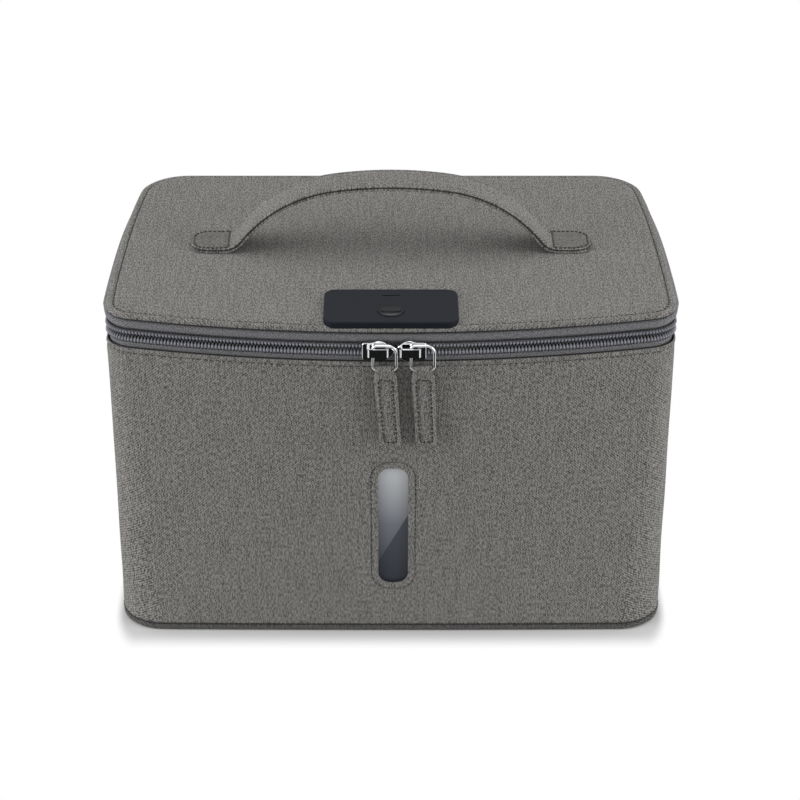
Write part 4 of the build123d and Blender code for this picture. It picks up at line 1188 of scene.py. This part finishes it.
@dataclass
class Zip:
    """The zip: two tapes, two rows of coil loops, and the hinge strip behind."""

    chain_z: float = 190.3
    end_y: float = 79.0
    pitch: float = 2.0
    row_gap: float = 0.15
    row_edge: float = 3.65
    noses_x: float = 1.8
    noses_gap: float = 4.0
    cord_gap: float = 1.0
    cord_right_shift: float = 1.2
    cord_place: tuple[float, float] = (1.9, 2.55)
    cord_size: tuple[float, float] = (0.7, 1.05)
    coil_lean: float = 1.1
    thread_rise: float = 3.95
    thread_inset: float = 2.0
    hinge_heights: tuple[float, float] = (182.7, 201.2)
    hinge_insets: tuple[float, float] = (1.3, 3.1)
    hinge_overlap: float = 1.1

    def span(self) -> tuple[float, float]:
        """Numbers of the outline's points where the zip starts and ends."""
        y = LID_PLAN.loop([0.0])[0][:, 1]
        first = float(np.interp(-self.end_y, -y[:FRONT_MIDDLE], np.arange(FRONT_MIDDLE)))
        return first, 2 * FRONT_MIDDLE - first

    def run(self, inset: Array, first: float, last: float, steps: int) -> Array:
        """Points of the outline between two numbers, which may pass its end."""
        loop = LID_PLAN.loop(inset)
        twice = np.concatenate([loop, loop[:, 1:]], axis=1)
        at = np.linspace(first, last, steps)
        low = np.floor(at).astype(int)
        share = (at - low)[None, :, None]
        return (1 - share) * twice[:, low] + share * twice[:, low + 1]

    def lean(self, line: Array, body: Body) -> Array:
        """How much of a strip's side shift is taken along the outline, as (n,).

        The case's share is the outward direction's X to the fourth. The lid's grows from the
        front corner backwards, and falls again where the lid's own edge stands out.
        """
        out_x = outward(line)[:, 0]
        if body is Body.CASE:
            return out_x**4
        y = line[:, 1]
        corner = np.interp(y, [-110.0, -95.0, -86.0, -76.0, -62.0], [0.35, 0.2, 0.2, 0.5, 1.0])
        grown = corner * (1 + 0.2 * ease((y + 30.0) / 75.0))
        return 1.26 * out_x**2 * grown * (1 - 0.7 * ease((y - 60.0) / 19.0))

    def strip(
        self, name: str, section: Array, first: float, last: float, steps: int,
        body: Body = Body.CASE,
    ) -> Piece:
        """A closed band that carries a section of insets and heights along the outline.

        Args:
            name: The piece's name.
            section: Points as (n, 2) or (n, 3). A third number takes that much off the
                inset at the sides.
            first: Number of the outline's point where it starts.
            last: Number of the point where it ends.
            steps: How many points it has along the outline.
            body: The body whose share of the side shift it takes.

        Returns:
            The new object.
        """
        line = self.run(np.array([0.0]), first, last, steps)[0]
        out = outward(line)
        side = section[:, 2:3] if section.shape[1] > 2 else np.zeros((len(section), 1))
        inset = section[:, 0:1] - side * self.lean(line, body)[None]
        level = line - out * inset[..., None]
        section = section[:, :2]
        grid = with_z(level, section[:, 1:2])
        closed = np.concatenate([grid, grid[:1]])
        around = path_length(section)
        around = np.concatenate([around, [around[-1] + np.linalg.norm(section[0] - section[-1])]])
        s = path_length(level[0])
        flat = np.stack(np.meshgrid(s, around), axis=-1)
        return add_tube(name, closed, flat)

    def tapes(self) -> list[Piece]:
        """The two tapes, each with a thick selvedge beside its coil."""
        first, last = self.span()
        low = np.array(
            [
                (2.6, 175.2, 0.0), (2.6, 180.5, 0.0), (3.2, 181.6, 0.0), (3.3, 182.5, 0.9),
                (2.9, 183.3, 1.1), (2.8, 184.4, 1.1), (2.8, 185.3, 1.1), (3.0, 186.0, 1.1),
                (2.7, 187.9, 1.1), (3.3, 187.9, 1.1), (3.6, 183.0, 0.7), (3.5, 180.5, 0.0),
                (3.2, 175.2, 0.0),
            ]
        )
        high = np.array(
            [
                (4.4, 203.0, 0.0), (4.4, 200.3, 0.5), (3.6, 199.7, 1.6), (2.5, 199.4, 2.8),
                (1.95, 198.8, 3.5), (1.75, 197.6, 3.6), (1.8, 196.2, 3.2), (2.2, 195.2, 2.6),
                (3.0, 194.6, 1.8), (2.8, 192.7, 1.4), (3.3, 192.7, 1.4), (3.4, 196.8, 1.8),
                (4.0, 199.2, 1.2), (4.8, 200.3, 0.2), (4.8, 203.0, 0.0),
            ]
        )
        pieces = self.seams(first, last)
        for name, section, body, node in (
            ("case_tape", low, Body.CASE, "case_zip_tape"),
            ("lid_tape", high, Body.LID, "lid_zip_tape"),
        ):
            piece = self.strip(name, section, first, last, 300, body)
            dress(piece, ZIP_TAPE, body, (node,))
            pieces.append(piece)
        return pieces

    def seams(self, first: float, last: float) -> list[Piece]:
        """Dark thread strips as painted shade under the lid's hem and over the body's top edge, and
        the coil's stitches.
        """
        # These strips take the thread's dark finish to paint the shade in the gaps
        under_hem_shade = np.array(
            [(1.9, 201.7, 0.6), (1.7, 200.2, 1.5), (3.4, 199.9, 1.5), (3.4, 201.7, 0.6)]
        )
        over_body_shade = np.array(
            [(2.9, 182.6, 1.2), (2.6, 182.1, 1.2), (3.5, 182.1, 1.2), (3.5, 182.6, 1.2)]
        )
        pieces = []
        for name, section, body in (
            ("lid_hem_painted_shade_strip", under_hem_shade, Body.LID),
            ("case_edge_painted_shade_strip", over_body_shade, Body.CASE),
        ):
            strip = self.strip(name, section, first, last, 300, body)
            pieces.append(dress(strip, SEWING_THREAD, body))
        line = self.run(np.array([0.0]), first, last, 500)[0]
        out = outward(line)
        dots = Stitching(length=1.2, gap=0.6, thread=1.0)
        for name, z, body in (
            ("lid_coil_stitches", self.chain_z + self.thread_rise, Body.LID),
            ("case_coil_stitches", self.chain_z - self.thread_rise, Body.CASE),
        ):
            inset = self.thread_inset - self.coil_lean * out[:, 0:1] ** 4
            row = with_z(line - out * inset, z)
            pieces.append(dots.sew(name, row, with_z(out, 0.0), body))
        return pieces

    def loop_shape(self, upper: bool) -> Array:
        """One loop of the coil: a flattened rod up the row, with a swollen head.

        Its section is an ellipse, and its width grows by a bell curve near the head.
        """
        rings, sides = 9, 8
        low, high = -self.row_gap, self.row_edge - (0.0 if upper else 0.5)
        share = (1 - np.cos(np.linspace(0, np.pi, rings))) / 2
        z = low + (high - low) * share
        taper = np.sqrt(np.clip(1 - (2 * share - 1) ** 8, 0, 1))
        width = (0.5 + 0.2 * ease(z / 2.2)) * taper
        depth = 0.72 * taper
        # The loop arches outwards over its cord, and its head lies deeper
        arch = -2.6 + 1.6 * valley(z, 2.3 if upper else 2.5, 1.15)
        turn = np.linspace(0, 2 * np.pi, sides + 1)
        grid = np.stack(
            [
                width[:, None] * np.cos(turn),
                depth[:, None] * np.sin(turn) + arch[:, None],
                np.broadcast_to(z[:, None], (rings, sides + 1)),
            ],
            axis=-1,
        )
        if not upper:
            grid[..., 2] *= -1
        return grid

    def coils(self) -> list[Piece]:
        """Both rows of loops, half a pitch apart, so that the heads mesh."""
        first, last = self.span()
        path = self.run(np.array([0.0]), first, last, 600)[0]
        out = outward(path)
        path = with_z(path + self.coil_lean * out[:, 0:1] ** 4 * out, self.chain_z)
        total = path_length(path)[-1]
        pieces = []
        for name, upper, body, node in (
            ("case_coil", False, Body.CASE, "case_zip_coil"),
            ("lid_coil", True, Body.LID, "lid_zip_coil"),
        ):
            start = self.pitch * (1.0 if upper else 0.5)
            at = np.arange(start, total - self.pitch / 2, self.pitch)
            places = along_path(path, path, at)
            keep = (places[:, 1] > 0) | (np.abs(places[:, 0] - self.noses_x) > self.noses_gap)
            places = places[keep]
            along = along_path(path, np.gradient(path, axis=0), at)[keep]
            along = unit_rows(along)
            out = with_z(np.stack([along[:, 1], -along[:, 0]], axis=-1), 0.0)
            shape = self.loop_shape(upper)
            piece = scatter(name, shape, places, along, out)
            dress(piece, NYLON_COIL, body, (node,))
            pieces.append(piece)
            turn = np.linspace(0, 2 * np.pi, 10)[:-1]
            rise = self.cord_place[1] + self.cord_size[1] * np.sin(turn)
            rise = rise * (1 if upper else -1)
            inset = self.cord_place[0] - self.cord_size[0] * np.cos(turn)
            lean = np.full(len(turn), self.coil_lean)
            cord = np.stack([inset, self.chain_z + rise, lean], axis=-1)
            before = FRONT_MIDDLE - self.cord_gap
            after = FRONT_MIDDLE + self.cord_gap + self.cord_right_shift
            for hand, low, high in (("left", first, before), ("right", after, last)):
                filler = self.strip(f"{name}_cord_{hand}", cord, low, high, 220)
                pieces.append(dress(filler, COIL_CORD, body))
        return pieces

    def hinge(self) -> Piece:
        """Canvas strip round the back, between the case and the lid, on neither body."""
        first, last = self.span()
        rows = np.linspace(*self.hinge_heights, 15)
        outer, inner = (np.full(len(rows), inset) for inset in self.hinge_insets)
        outer, inner = np.stack([outer, rows], axis=-1), np.stack([inner, rows[::-1]], axis=-1)
        section = np.concatenate([outer, inner])
        start = last + self.hinge_overlap
        end = 2 * FRONT_MIDDLE + first - self.hinge_overlap
        piece = self.strip("rear_hinge_strip", section, start, end, 150)
        nodes = ("rear_hinge_case", "rear_hinge_lid")
        dress(piece, HEATHER_TWILL, (Body.CASE, Body.LID), nodes)
        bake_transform(piece)
        return piece

    def build(self) -> list[Piece]:
        """Makes every piece of the zip but its sliders."""
        return [*self.tapes(), *self.coils(), self.hinge()]


# The handle


@dataclass
class Handle:
    """The strap handle: two skins of canvas, sewn flat to the lid at both ends."""

    width: float = 26.0
    middle_y: float = 3.0
    top_z: float = 248.9
    lid_z: float = 205.0
    thick: float = 3.3
    crown_radius: float = 250.0
    crown: float = math.radians(7.8)
    shoulder_radius: float = 86.0
    leg: float = math.radians(52.0)
    foot_radius: float = 12.0
    patch: float = 20.2
    patch_round: float = 11.0
    groove: float = 2.7
    cross_seam_x: float = 98.1
    patch_trim: float = 1.1

    def line(self, fall: float) -> Array:
        """The side view from the left end to the right, a distance under the top surface.

        Arcs of the crown, shoulder and foot, and a straight leg and patch.
        """
        low = self.top_z - self.crown_radius
        gap = self.crown_radius - self.shoulder_radius
        sx, sz = gap * math.sin(self.crown), low + gap * math.cos(self.crown)
        patch_z = self.lid_z + self.thick
        leg_x = sx + self.shoulder_radius * math.sin(self.leg)
        leg_z = sz + self.shoulder_radius * math.cos(self.leg)
        run = (leg_z - patch_z - self.foot_radius * (1 - math.cos(self.leg))) / math.sin(self.leg)
        foot_x = leg_x + run * math.cos(self.leg) + self.foot_radius * math.sin(self.leg)
        foot_z = patch_z + self.foot_radius
        crown = np.linspace(0, self.crown, 14)[:-1]
        shoulder = np.linspace(self.crown, self.leg, 24)
        foot = np.linspace(self.leg, 0, 12)
        reach, small = self.crown_radius - fall, self.shoulder_radius - fall
        big = self.foot_radius + fall
        ends = foot_x + self.patch - self.end_steps()
        right = np.concatenate(
            [
                np.stack([reach * np.sin(crown), low + reach * np.cos(crown)], axis=-1),
                np.stack([sx + small * np.sin(shoulder), sz + small * np.cos(shoulder)], axis=-1),
                np.stack([foot_x - big * np.sin(foot), foot_z - big * np.cos(foot)], axis=-1),
                np.stack([ends, np.full(len(ends), patch_z - fall)], axis=-1),
            ]
        )
        left = right[:0:-1] * np.array([-1.0, 1.0])
        return np.concatenate([left, right])

    def end_steps(self) -> Array:
        """Distances from the patch's end, close together where it is round."""
        bend = self.patch_round * (1 - np.sin(np.linspace(0, np.pi / 2, 8)))
        return np.concatenate([np.linspace(self.patch - 2.0, self.patch_round + 2.0, 5), bend])

    def widths(self, x: Array, trim: float) -> Array:
        """Half of the width along the strap, less a trim: full, then a quarter circle."""
        end = np.abs(x).max()
        size = self.patch_round - trim
        near = np.clip(end - trim - np.abs(x), 0, size)
        curve = np.sqrt(np.clip(size**2 - (size - near) ** 2, 0, None))
        return self.width / 2 - trim - size + curve

    def layer(self, name: str, section: Array) -> Piece:
        """One skin of the strap, carried along the side view.

        Args:
            name: The piece's name.
            section: Points as (n, 2): the share of the half width, and the fall.

        Returns:
            The new object.
        """
        lines = np.stack([self.line(fall) for fall in section[:, 1]])
        half = self.widths(lines[0, :, 0], 0.0)
        share = section[:, 0:1]
        from_edge = (1 - np.abs(share)) * self.width / 2
        edge = np.sign(share) * np.maximum(half[None] - from_edge, 0)
        grid = np.stack([lines[..., 0], self.middle_y + edge, lines[..., 1]], axis=-1)
        grid = np.concatenate([grid, grid[:1]])
        s = path_length(lines[0])
        around = np.concatenate([section[:, 0] * self.width / 2, section[:1, 0] * self.width / 2])
        flat = np.stack(np.meshgrid(s, around), axis=-1)
        return add_tube(name, grid, flat, axes=(0, 1))

    def skins(self) -> list[Piece]:
        """The upper skin with its sewn grooves, and the lower skin."""
        groove = 1 - self.groove / (self.width / 2)
        share = np.array(
            [1.0, 0.985, 0.95, 0.9, groove + 0.035, groove, groove - 0.035, 0.7, 0.4, 0.0]
        )
        fall = np.array([0.95, 0.5, 0.2, 0.08, 0.2, 0.75, 0.2, 0.06, 0.0, 0.0])
        under = np.array(
            [(0.985, 1.3), (0.92, 1.55), (0.88, 1.75), (-0.88, 1.75), (-0.92, 1.55), (-0.985, 1.3)]
        )
        upper = self.layer("handle_upper_cloth", np.concatenate([mirrored(share, fall), under]))
        dress(upper, HEATHER_TWILL, Body.LID, ("handle_cover", "handle_core"))
        half = np.array(
            [(0.88, 1.75), (0.97, 1.8), (1.02, 1.95), (1.04, 2.5), (1.02, 3.05), (0.96, 3.28)]
        )
        low = np.concatenate([half, half[::-1] * np.array([-1.0, 1.0])])
        lower = self.layer("handle_lower_cloth", low)
        dress(lower, HEATHER_TWILL, Body.LID, ("handle_backing",))
        return [upper, lower]

    def stitches(self) -> list[Piece]:
        """Stitches along both edges, round the ends, and across each foot."""
        line = self.line(0.55)
        half = self.widths(line[:, 0], self.groove)
        end = np.abs(line[:, 0]).max() - self.groove
        keep = np.abs(line[:, 0]) <= end + 0.01
        x, z, half = line[keep, 0], line[keep, 1], half[keep]
        loop = self.round_strap(x, half, z)
        along = np.gradient(np.stack([x, z], axis=-1), axis=0)
        out = unit_rows(np.stack([-along[:, 1], 0 * x, along[:, 0]], axis=-1))
        normal = np.concatenate([out, out[::-1], out[:1]])
        fine = Stitching(length=2.4, gap=0.8, thread=0.55)
        pieces = [fine.sew("handle_edge_stitches", loop, normal, Body.LID)]
        x, z, half = self.seam_line()
        wrap = Stitching(length=3.2, gap=0.1, thread=1.0)
        for name, side in (("front", -1.0), ("back", 1.0)):
            row = np.stack([x, self.middle_y + side * (half + 0.1), z], axis=-1)
            out = np.broadcast_to([0.0, side, 0.0], row.shape)
            pieces.append(wrap.sew(f"handle_seam_{name}", row, out, Body.LID))
        keep = np.abs(line[:, 0]) <= end + self.groove - self.patch_trim + 0.01
        x, z, half = line[keep, 0], line[keep, 1], self.widths(line[:, 0], self.patch_trim)[keep]
        bold = Stitching(length=2.4, gap=0.25, thread=1.35)
        for hand, side in (("left", -1.0), ("right", 1.0)):
            on_patch = side * x >= self.cross_seam_x - 0.6
            px, pz, ph = (v[on_patch] if side > 0 else v[on_patch][::-1] for v in (x, z, half))
            loop = self.round_strap(px, ph, pz + 0.4)
            up = np.broadcast_to([0.0, 0.0, 1.0], loop.shape)
            pieces.append(bold.sew(f"handle_patch_stitches_{hand}", loop, up, Body.LID))
            pieces.append(self.patch_cloth(hand, loop))
        return pieces

    def round_strap(self, x: Array, half: Array, z: Array) -> Array:
        """A closed line along the strap's front edge and back along its rear one.

        Args:
            x: X of its points as (n,).
            half: Half of its width there.
            z: Its height there.

        Returns:
            Points as (2 n + 1, 3).
        """
        front = np.stack([x, self.middle_y - half, z], axis=-1)
        back = np.stack([x, self.middle_y + half, z], axis=-1)[::-1]
        return np.concatenate([front, back, front[:1]])

    def seam_line(self) -> tuple[Array, Array, Array]:
        """X, height and half width along the seam between the two skins."""
        line = self.line(1.15)
        half = self.widths(line[:, 0], 0.0)
        return line[:, 0], line[:, 1], half

    def patch_cloth(self, hand: str, loop: Array) -> Piece:
        """The patch inside its stitches: a low dome from the closed line to its middle."""
        middle = loop[:-1].mean(axis=0)
        share = np.array([0.02, 0.03, 0.08, 0.2, 0.4, 0.7, 1.0])[:, None, None]
        rise = np.array([-0.65, -0.15, 0.15, 0.27, 0.3, 0.3, 0.3])[:, None]
        grid = (1 - share) * loop + share * middle
        grid[..., 2] += rise
        piece = add_patches(f"handle_end_patch_{hand}", [Patch(grid, grid[..., 1::-1].copy())])
        return dress(piece, PATCH_TWILL_SHADED, Body.LID)

    def build(self) -> list[Piece]:
        """Makes every piece of the handle."""
        return [*self.skins(), *self.stitches()]


# Pull tabs


@dataclass
class PullTab:
    """A strip of canvas folded over its ring's low bar and sewn to itself."""

    hand: str
    slider_x: float
    pin_x: float
    lean: float
    bow_radius: float = 665.0
    ring_y: float = -112.0
    ring_z: float = 179.7
    ring_width: float = 13.3
    length: float = 49.0
    neck: float = 5.3
    top: float = 6.7
    end: float = 6.0
    eye: float = 1.1
    ply: float = 1.25

    def turned(self, points: Array) -> Array:
        """Turns points from X = 0 to the slider's place on the front's bow."""
        angle = math.asin(self.slider_x / self.bow_radius)
        centre = self.bow_radius - LID_PLAN.half_depth
        x, y = points[..., 0], points[..., 1] - centre
        cos, sin = math.cos(angle), math.sin(angle)
        return np.stack([x * cos - y * sin, centre + x * sin + y * cos, points[..., 2]], axis=-1)

    def fold(self) -> Array:
        """Side view of the strip's middle line: up the back, over the bar, down the front."""
        radius = self.eye + self.ply / 2
        half = self.ply / 2 + 0.04
        turn = np.linspace(-0.25 * np.pi, 1.25 * np.pi, 20)
        over = np.stack([radius * np.cos(turn), radius * np.sin(turn)], axis=-1)
        down = np.linspace(-3.4, -self.length, 26)
        front = np.stack([np.full(26, -half), down], axis=-1)
        back = front[::-1] * np.array([-1.0, 1.0])
        return np.concatenate([back, over, front])

    def half_width(self, z: Array) -> Array:
        """Half of the strip's width at a height under the bar."""
        falls = [-3, 2.2, 4.4, self.length]
        return np.interp(-z, falls, [self.neck, self.neck, self.top, self.end])

    def shift(self, z: Array) -> Array:
        """How far the strip's middle leans to the side at a height under the bar."""
        return self.lean * np.clip(-z / self.length, 0, 1)

    def cloth(self) -> Piece:
        """The folded strip: its section is a flat oval with sewn grooves."""
        line = self.fold()
        along = unit_rows(np.gradient(line, axis=0))
        normal = np.stack([-along[:, 1], along[:, 0]], axis=-1)
        share = np.array([1.0, 0.97, 0.9, 0.72, 0.64, 0.56, 0.3, 0.0])
        rise = np.array([0.1, 0.42, 0.6, 0.58, 0.34, 0.58, 0.66, 0.68]) * self.ply / 1.25
        outer = mirrored(share, rise)
        inner = np.array([(0.97, -0.5), (0.0, -0.6), (-0.97, -0.5)])
        section = np.concatenate([outer, inner, outer[:1]])
        wide = self.half_width(line[:, 1])
        middle = self.pin_x + self.ring_width / 2 + self.shift(line[:, 1])
        x = middle[None] + section[:, 0:1] * wide[None]
        y = self.ring_y + line[None, :, 0] - section[:, 1:2] * -normal[None, :, 0]
        z = self.ring_z + line[None, :, 1] + section[:, 1:2] * normal[None, :, 1]
        grid = self.turned(np.stack([x, y, z], axis=-1))
        s = path_length(line)
        flat = np.stack([section[:, 0:1] * wide[None], np.broadcast_to(s, x.shape)], axis=-1)
        piece = add_tube(f"tab_cloth_{self.hand}", grid, flat)
        body = Body(f"tab_{self.hand}")
        dress(piece, HEATHER_TWILL, body, (f"pull_tab_{self.hand}",))
        return piece

    def stitches(self) -> Piece:
        """A long box of stitches on the front."""
        down = np.linspace(-6.4, -self.length + 2.4, 30)
        wide = 0.64 * self.half_width(down)
        middle = self.pin_x + self.ring_width / 2 + self.shift(down)
        right = np.stack([middle + wide, down], axis=-1)
        left = np.stack([middle - wide, down], axis=-1)
        loop = np.concatenate([left, right[::-1], left[:1]])
        y = self.ring_y - self.ply - 0.28
        x, z = loop[:, 0], self.ring_z + loop[:, 1]
        line = self.turned(np.stack([x, np.full(len(loop), y), z], axis=-1))
        out = np.broadcast_to([0.0, -1.0, 0.0], line.shape)
        rod = Stitching(length=2.2, gap=0.5, thread=0.75, squared=False)
        return rod.sew(f"tab_stitches_{self.hand}", line, out, Body(f"tab_{self.hand}"))

    def build(self) -> list[Piece]:
        """Makes the tab and its stitches."""
        return [self.cloth(), self.stitches()]


# The room


@dataclass
class Studio:
    """Pale floor, soft lamps, and the camera of the photograph."""

    picture: float = 800.0
    focal_px: float = 2553.5
    sensor: float = 36.0
    middle_x: float = 391.0
    middle_y: float = 401.2
    camera_place: tuple[float, float, float] = (0.0, -1.4, 0.85)
    pitch: float = math.radians(28.2)
    base_core: tuple[float, float, float] = (152.9, 81.8, 1.0)
    core_round: float = 26.0
    side_stretch: float = 3.0
    shadow: tuple[float, float] = (1.5, 21.0)
    reach: float = 6000.0
    paper: tuple[float, ...] = (0.65, 0.65, 0.65, 1.0)
    card: tuple[float, ...] = (0.012, 0.012, 0.012, 1.0)
    lamp_target: tuple[float, float, float] = (0.0, 0.0, 0.1)

    def camera(self) -> None:
        """Sets the camera where the bag's outline in the photograph puts it."""
        data = bpy.data.cameras.new("camera")
        data.sensor_width = self.sensor
        data.lens = self.focal_px / self.picture * self.sensor
        data.shift_x = (self.picture / 2 - self.middle_x) / self.picture
        data.shift_y = (self.middle_y - self.picture / 2) / self.picture
        camera = bpy.data.objects.new("camera", data)
        camera.location = self.camera_place
        camera.rotation_euler = (math.pi / 2 - self.pitch, 0.0, 0.0)
        bpy.context.scene.collection.objects.link(camera)
        bpy.context.scene.camera = camera

    def sheet(
        self, name: str, x: tuple[float, float], y: tuple[float, float], z: float
    ) -> Piece:
        """A level sheet of the room that faces up, with no finish yet.

        Args:
            name: The sheet's name.
            x: Its two ends along X, in mm.
            y: Its two ends along Y, in mm.
            z: Its height, in mm.

        Returns:
            The new object.
        """
        grid = with_z(np.stack(np.meshgrid(x, y), axis=-1).astype(float), z)
        piece = add_patches(name, [Patch(grid, grid[..., :2].copy())])
        if piece.data.polygons[0].normal.z < 0:
            piece.data.flip_normals()
        return piece

    def seen(self, tree: Tree) -> Node:
        """One for rays of the camera, off gloss and through glass, and nought for the light."""
        ray = add_node(tree, "LightPath", {}).outputs
        most = {0: ray["Is Camera Ray"], 1: ray["Is Glossy Ray"]}
        most = {0: add_node(tree, "Math", most, operation="MAXIMUM"), 1: ray["Is Transmission Ray"]}
        return add_node(tree, "Math", most, operation="MAXIMUM")

    def floor(self) -> None:
        """A wide floor that keeps the bag's shadow, grey paper near the base that turns pure white
        away from it.

        The white grows with the distance from the bag's base, taken as a rectangle, so the grey
        round the base is partly real shadow and partly painted shadow.
        """
        floor = self.sheet("floor", (-self.reach, self.reach), (-self.reach, self.reach), 0.0)
        shader = {"Base Color": self.paper, "Roughness": 0.9, "Specular IOR Level": 0.0}
        tree, surface, material = new_material("matt_white_paper", shader)
        past = add_node(tree, "TexCoord", {}).outputs["Object"]
        for operation, other in (
            ("ABSOLUTE", None),
            ("SUBTRACT", tuple(v * MM for v in self.base_core)),
            ("MAXIMUM", (0.0, 0.0, 0.0)),
            ("MULTIPLY", (self.side_stretch, 1.0, 1.0)),
        ):
            values = {0: past} if other is None else {0: past, 1: other}
            past = add_node(tree, "VectorMath", values, operation=operation)
        away = add_node(tree, "VectorMath", {0: past}, operation="LENGTH").outputs["Value"]
        # The fade from grey paper to white glow paints the shadow's edge and darkness round the
        # base
        near, far = ((self.core_round + edge) * MM for edge in self.shadow)
        spread = {0: away, 1: near, 2: far}
        white = add_node(tree, "MapRange", spread, interpolation_type="SMOOTHSTEP")
        share = add_node(tree, "Math", {0: white, 1: self.seen(tree)}, operation="MULTIPLY")
        glow = add_node(tree, "Emission", {"Color": WHITE, "Strength": 1.0})
        mixed = add_node(tree, "MixShader", {0: share, 1: surface, 2: glow})
        set_inputs(tree, tree.nodes["Material Output"], {"Surface": mixed})
        floor.data.materials.append(material)

    def flag(self) -> None:
        """A black card on the floor in front that only the bag sees, for its chrome to mirror."""
        card = self.sheet("black_card", (-260.0, 260.0), (-900.0, -330.0), 2.0)
        shader = {"Base Color": self.card, "Roughness": 0.9, "Specular IOR Level": 0.0}
        tree, surface, material = new_material("matt_black_card", shader)
        camera_ray = add_node(tree, "LightPath", {}).outputs["Is Camera Ray"]
        clear = add_node(tree, "BsdfTransparent", {})
        mixed = add_node(tree, "MixShader", {0: camera_ray, 1: surface, 2: clear})
        set_inputs(tree, tree.nodes["Material Output"], {"Surface": mixed})
        card.data.materials.append(material)

    def lamps(self) -> None:
        """A pale room, a wide lamp overhead, a weak one in front and one at each side."""
        world = bpy.data.worlds.new("pale_room")
        bpy.context.scene.world = world
        world.use_nodes = True
        tree = world.node_tree
        room = tree.nodes["Background"]
        set_inputs(tree, room, {"Color": WHITE, "Strength": 0.45})
        white = add_node(tree, "Background", {"Color": WHITE, "Strength": 1.0})
        mixed = add_node(tree, "MixShader", {0: self.seen(tree), 1: room, 2: white})
        set_inputs(tree, tree.nodes["World Output"], {"Surface": mixed})
        for name, place, size, power in (
            ("overhead", (0.0, 0.2, 1.9), 2.0, 16.0),
            ("front", (0.0, -2.6, 1.4), 1.6, 3.5),
            ("left", (-1.35, -0.5, 0.45), 1.0, 13.5),
            ("right", (1.35, -0.5, 0.45), 1.0, 13.0),
        ):
            data = bpy.data.lights.new(name, "AREA")
            data.shape = "DISK"
            data.size = size
            data.energy = power
            lamp = bpy.data.objects.new(name, data)
            x, y, z = np.array(self.lamp_target) - np.array(place)
            lamp.location = place
            tilt, turn = math.atan2(math.hypot(x, y), -z), math.atan2(y, x) - math.pi / 2
            lamp.rotation_euler = (tilt, 0.0, turn)
            bpy.context.scene.collection.objects.link(lamp)

    def build(self) -> None:
        """Makes the room."""
        bpy.context.scene.view_settings.view_transform = "Standard"
        self.camera()
        self.floor()
        self.flag()
        self.lamps()


def dress_cad_nodes(nodes: dict) -> None:
    """Gives the frame's own rigid nodes their finishes."""
    finishes = {node: made(finish) for finish, names in CAD_NODES for node in names.split()}
    window = Window()
    # The window's lens carries a painted reflection in its colour
    finishes["window_lens"] = made(SheetWithPaintedReflection("clear_sheet_painted_reflection", window.low, window.high))
    for node, material in finishes.items():
        data = nodes[node].data
        data.materials.clear()
        data.materials.append(material)


def main() -> None:
    """Builds the room and the bag."""
    logging.basicConfig(level=logging.INFO, format="%(message)s")
    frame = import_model()
    Studio().build()
    dress_cad_nodes(frame["nodes"])
    assemblies = [
        CaseBody(),
        LidBody(),
        Zip(),
        Handle(),
        PullTab("left", slider_x=-7.35, pin_x=-2.9, lean=3.5),
        PullTab("right", slider_x=10.95, pin_x=0.4, lean=2.5),
    ]
    for assembly in assemblies:
        for piece in assembly.build():
            log.info("%s: %d faces", piece.name, len(piece.data.polygons))


if __name__ == "__main__":
    main()
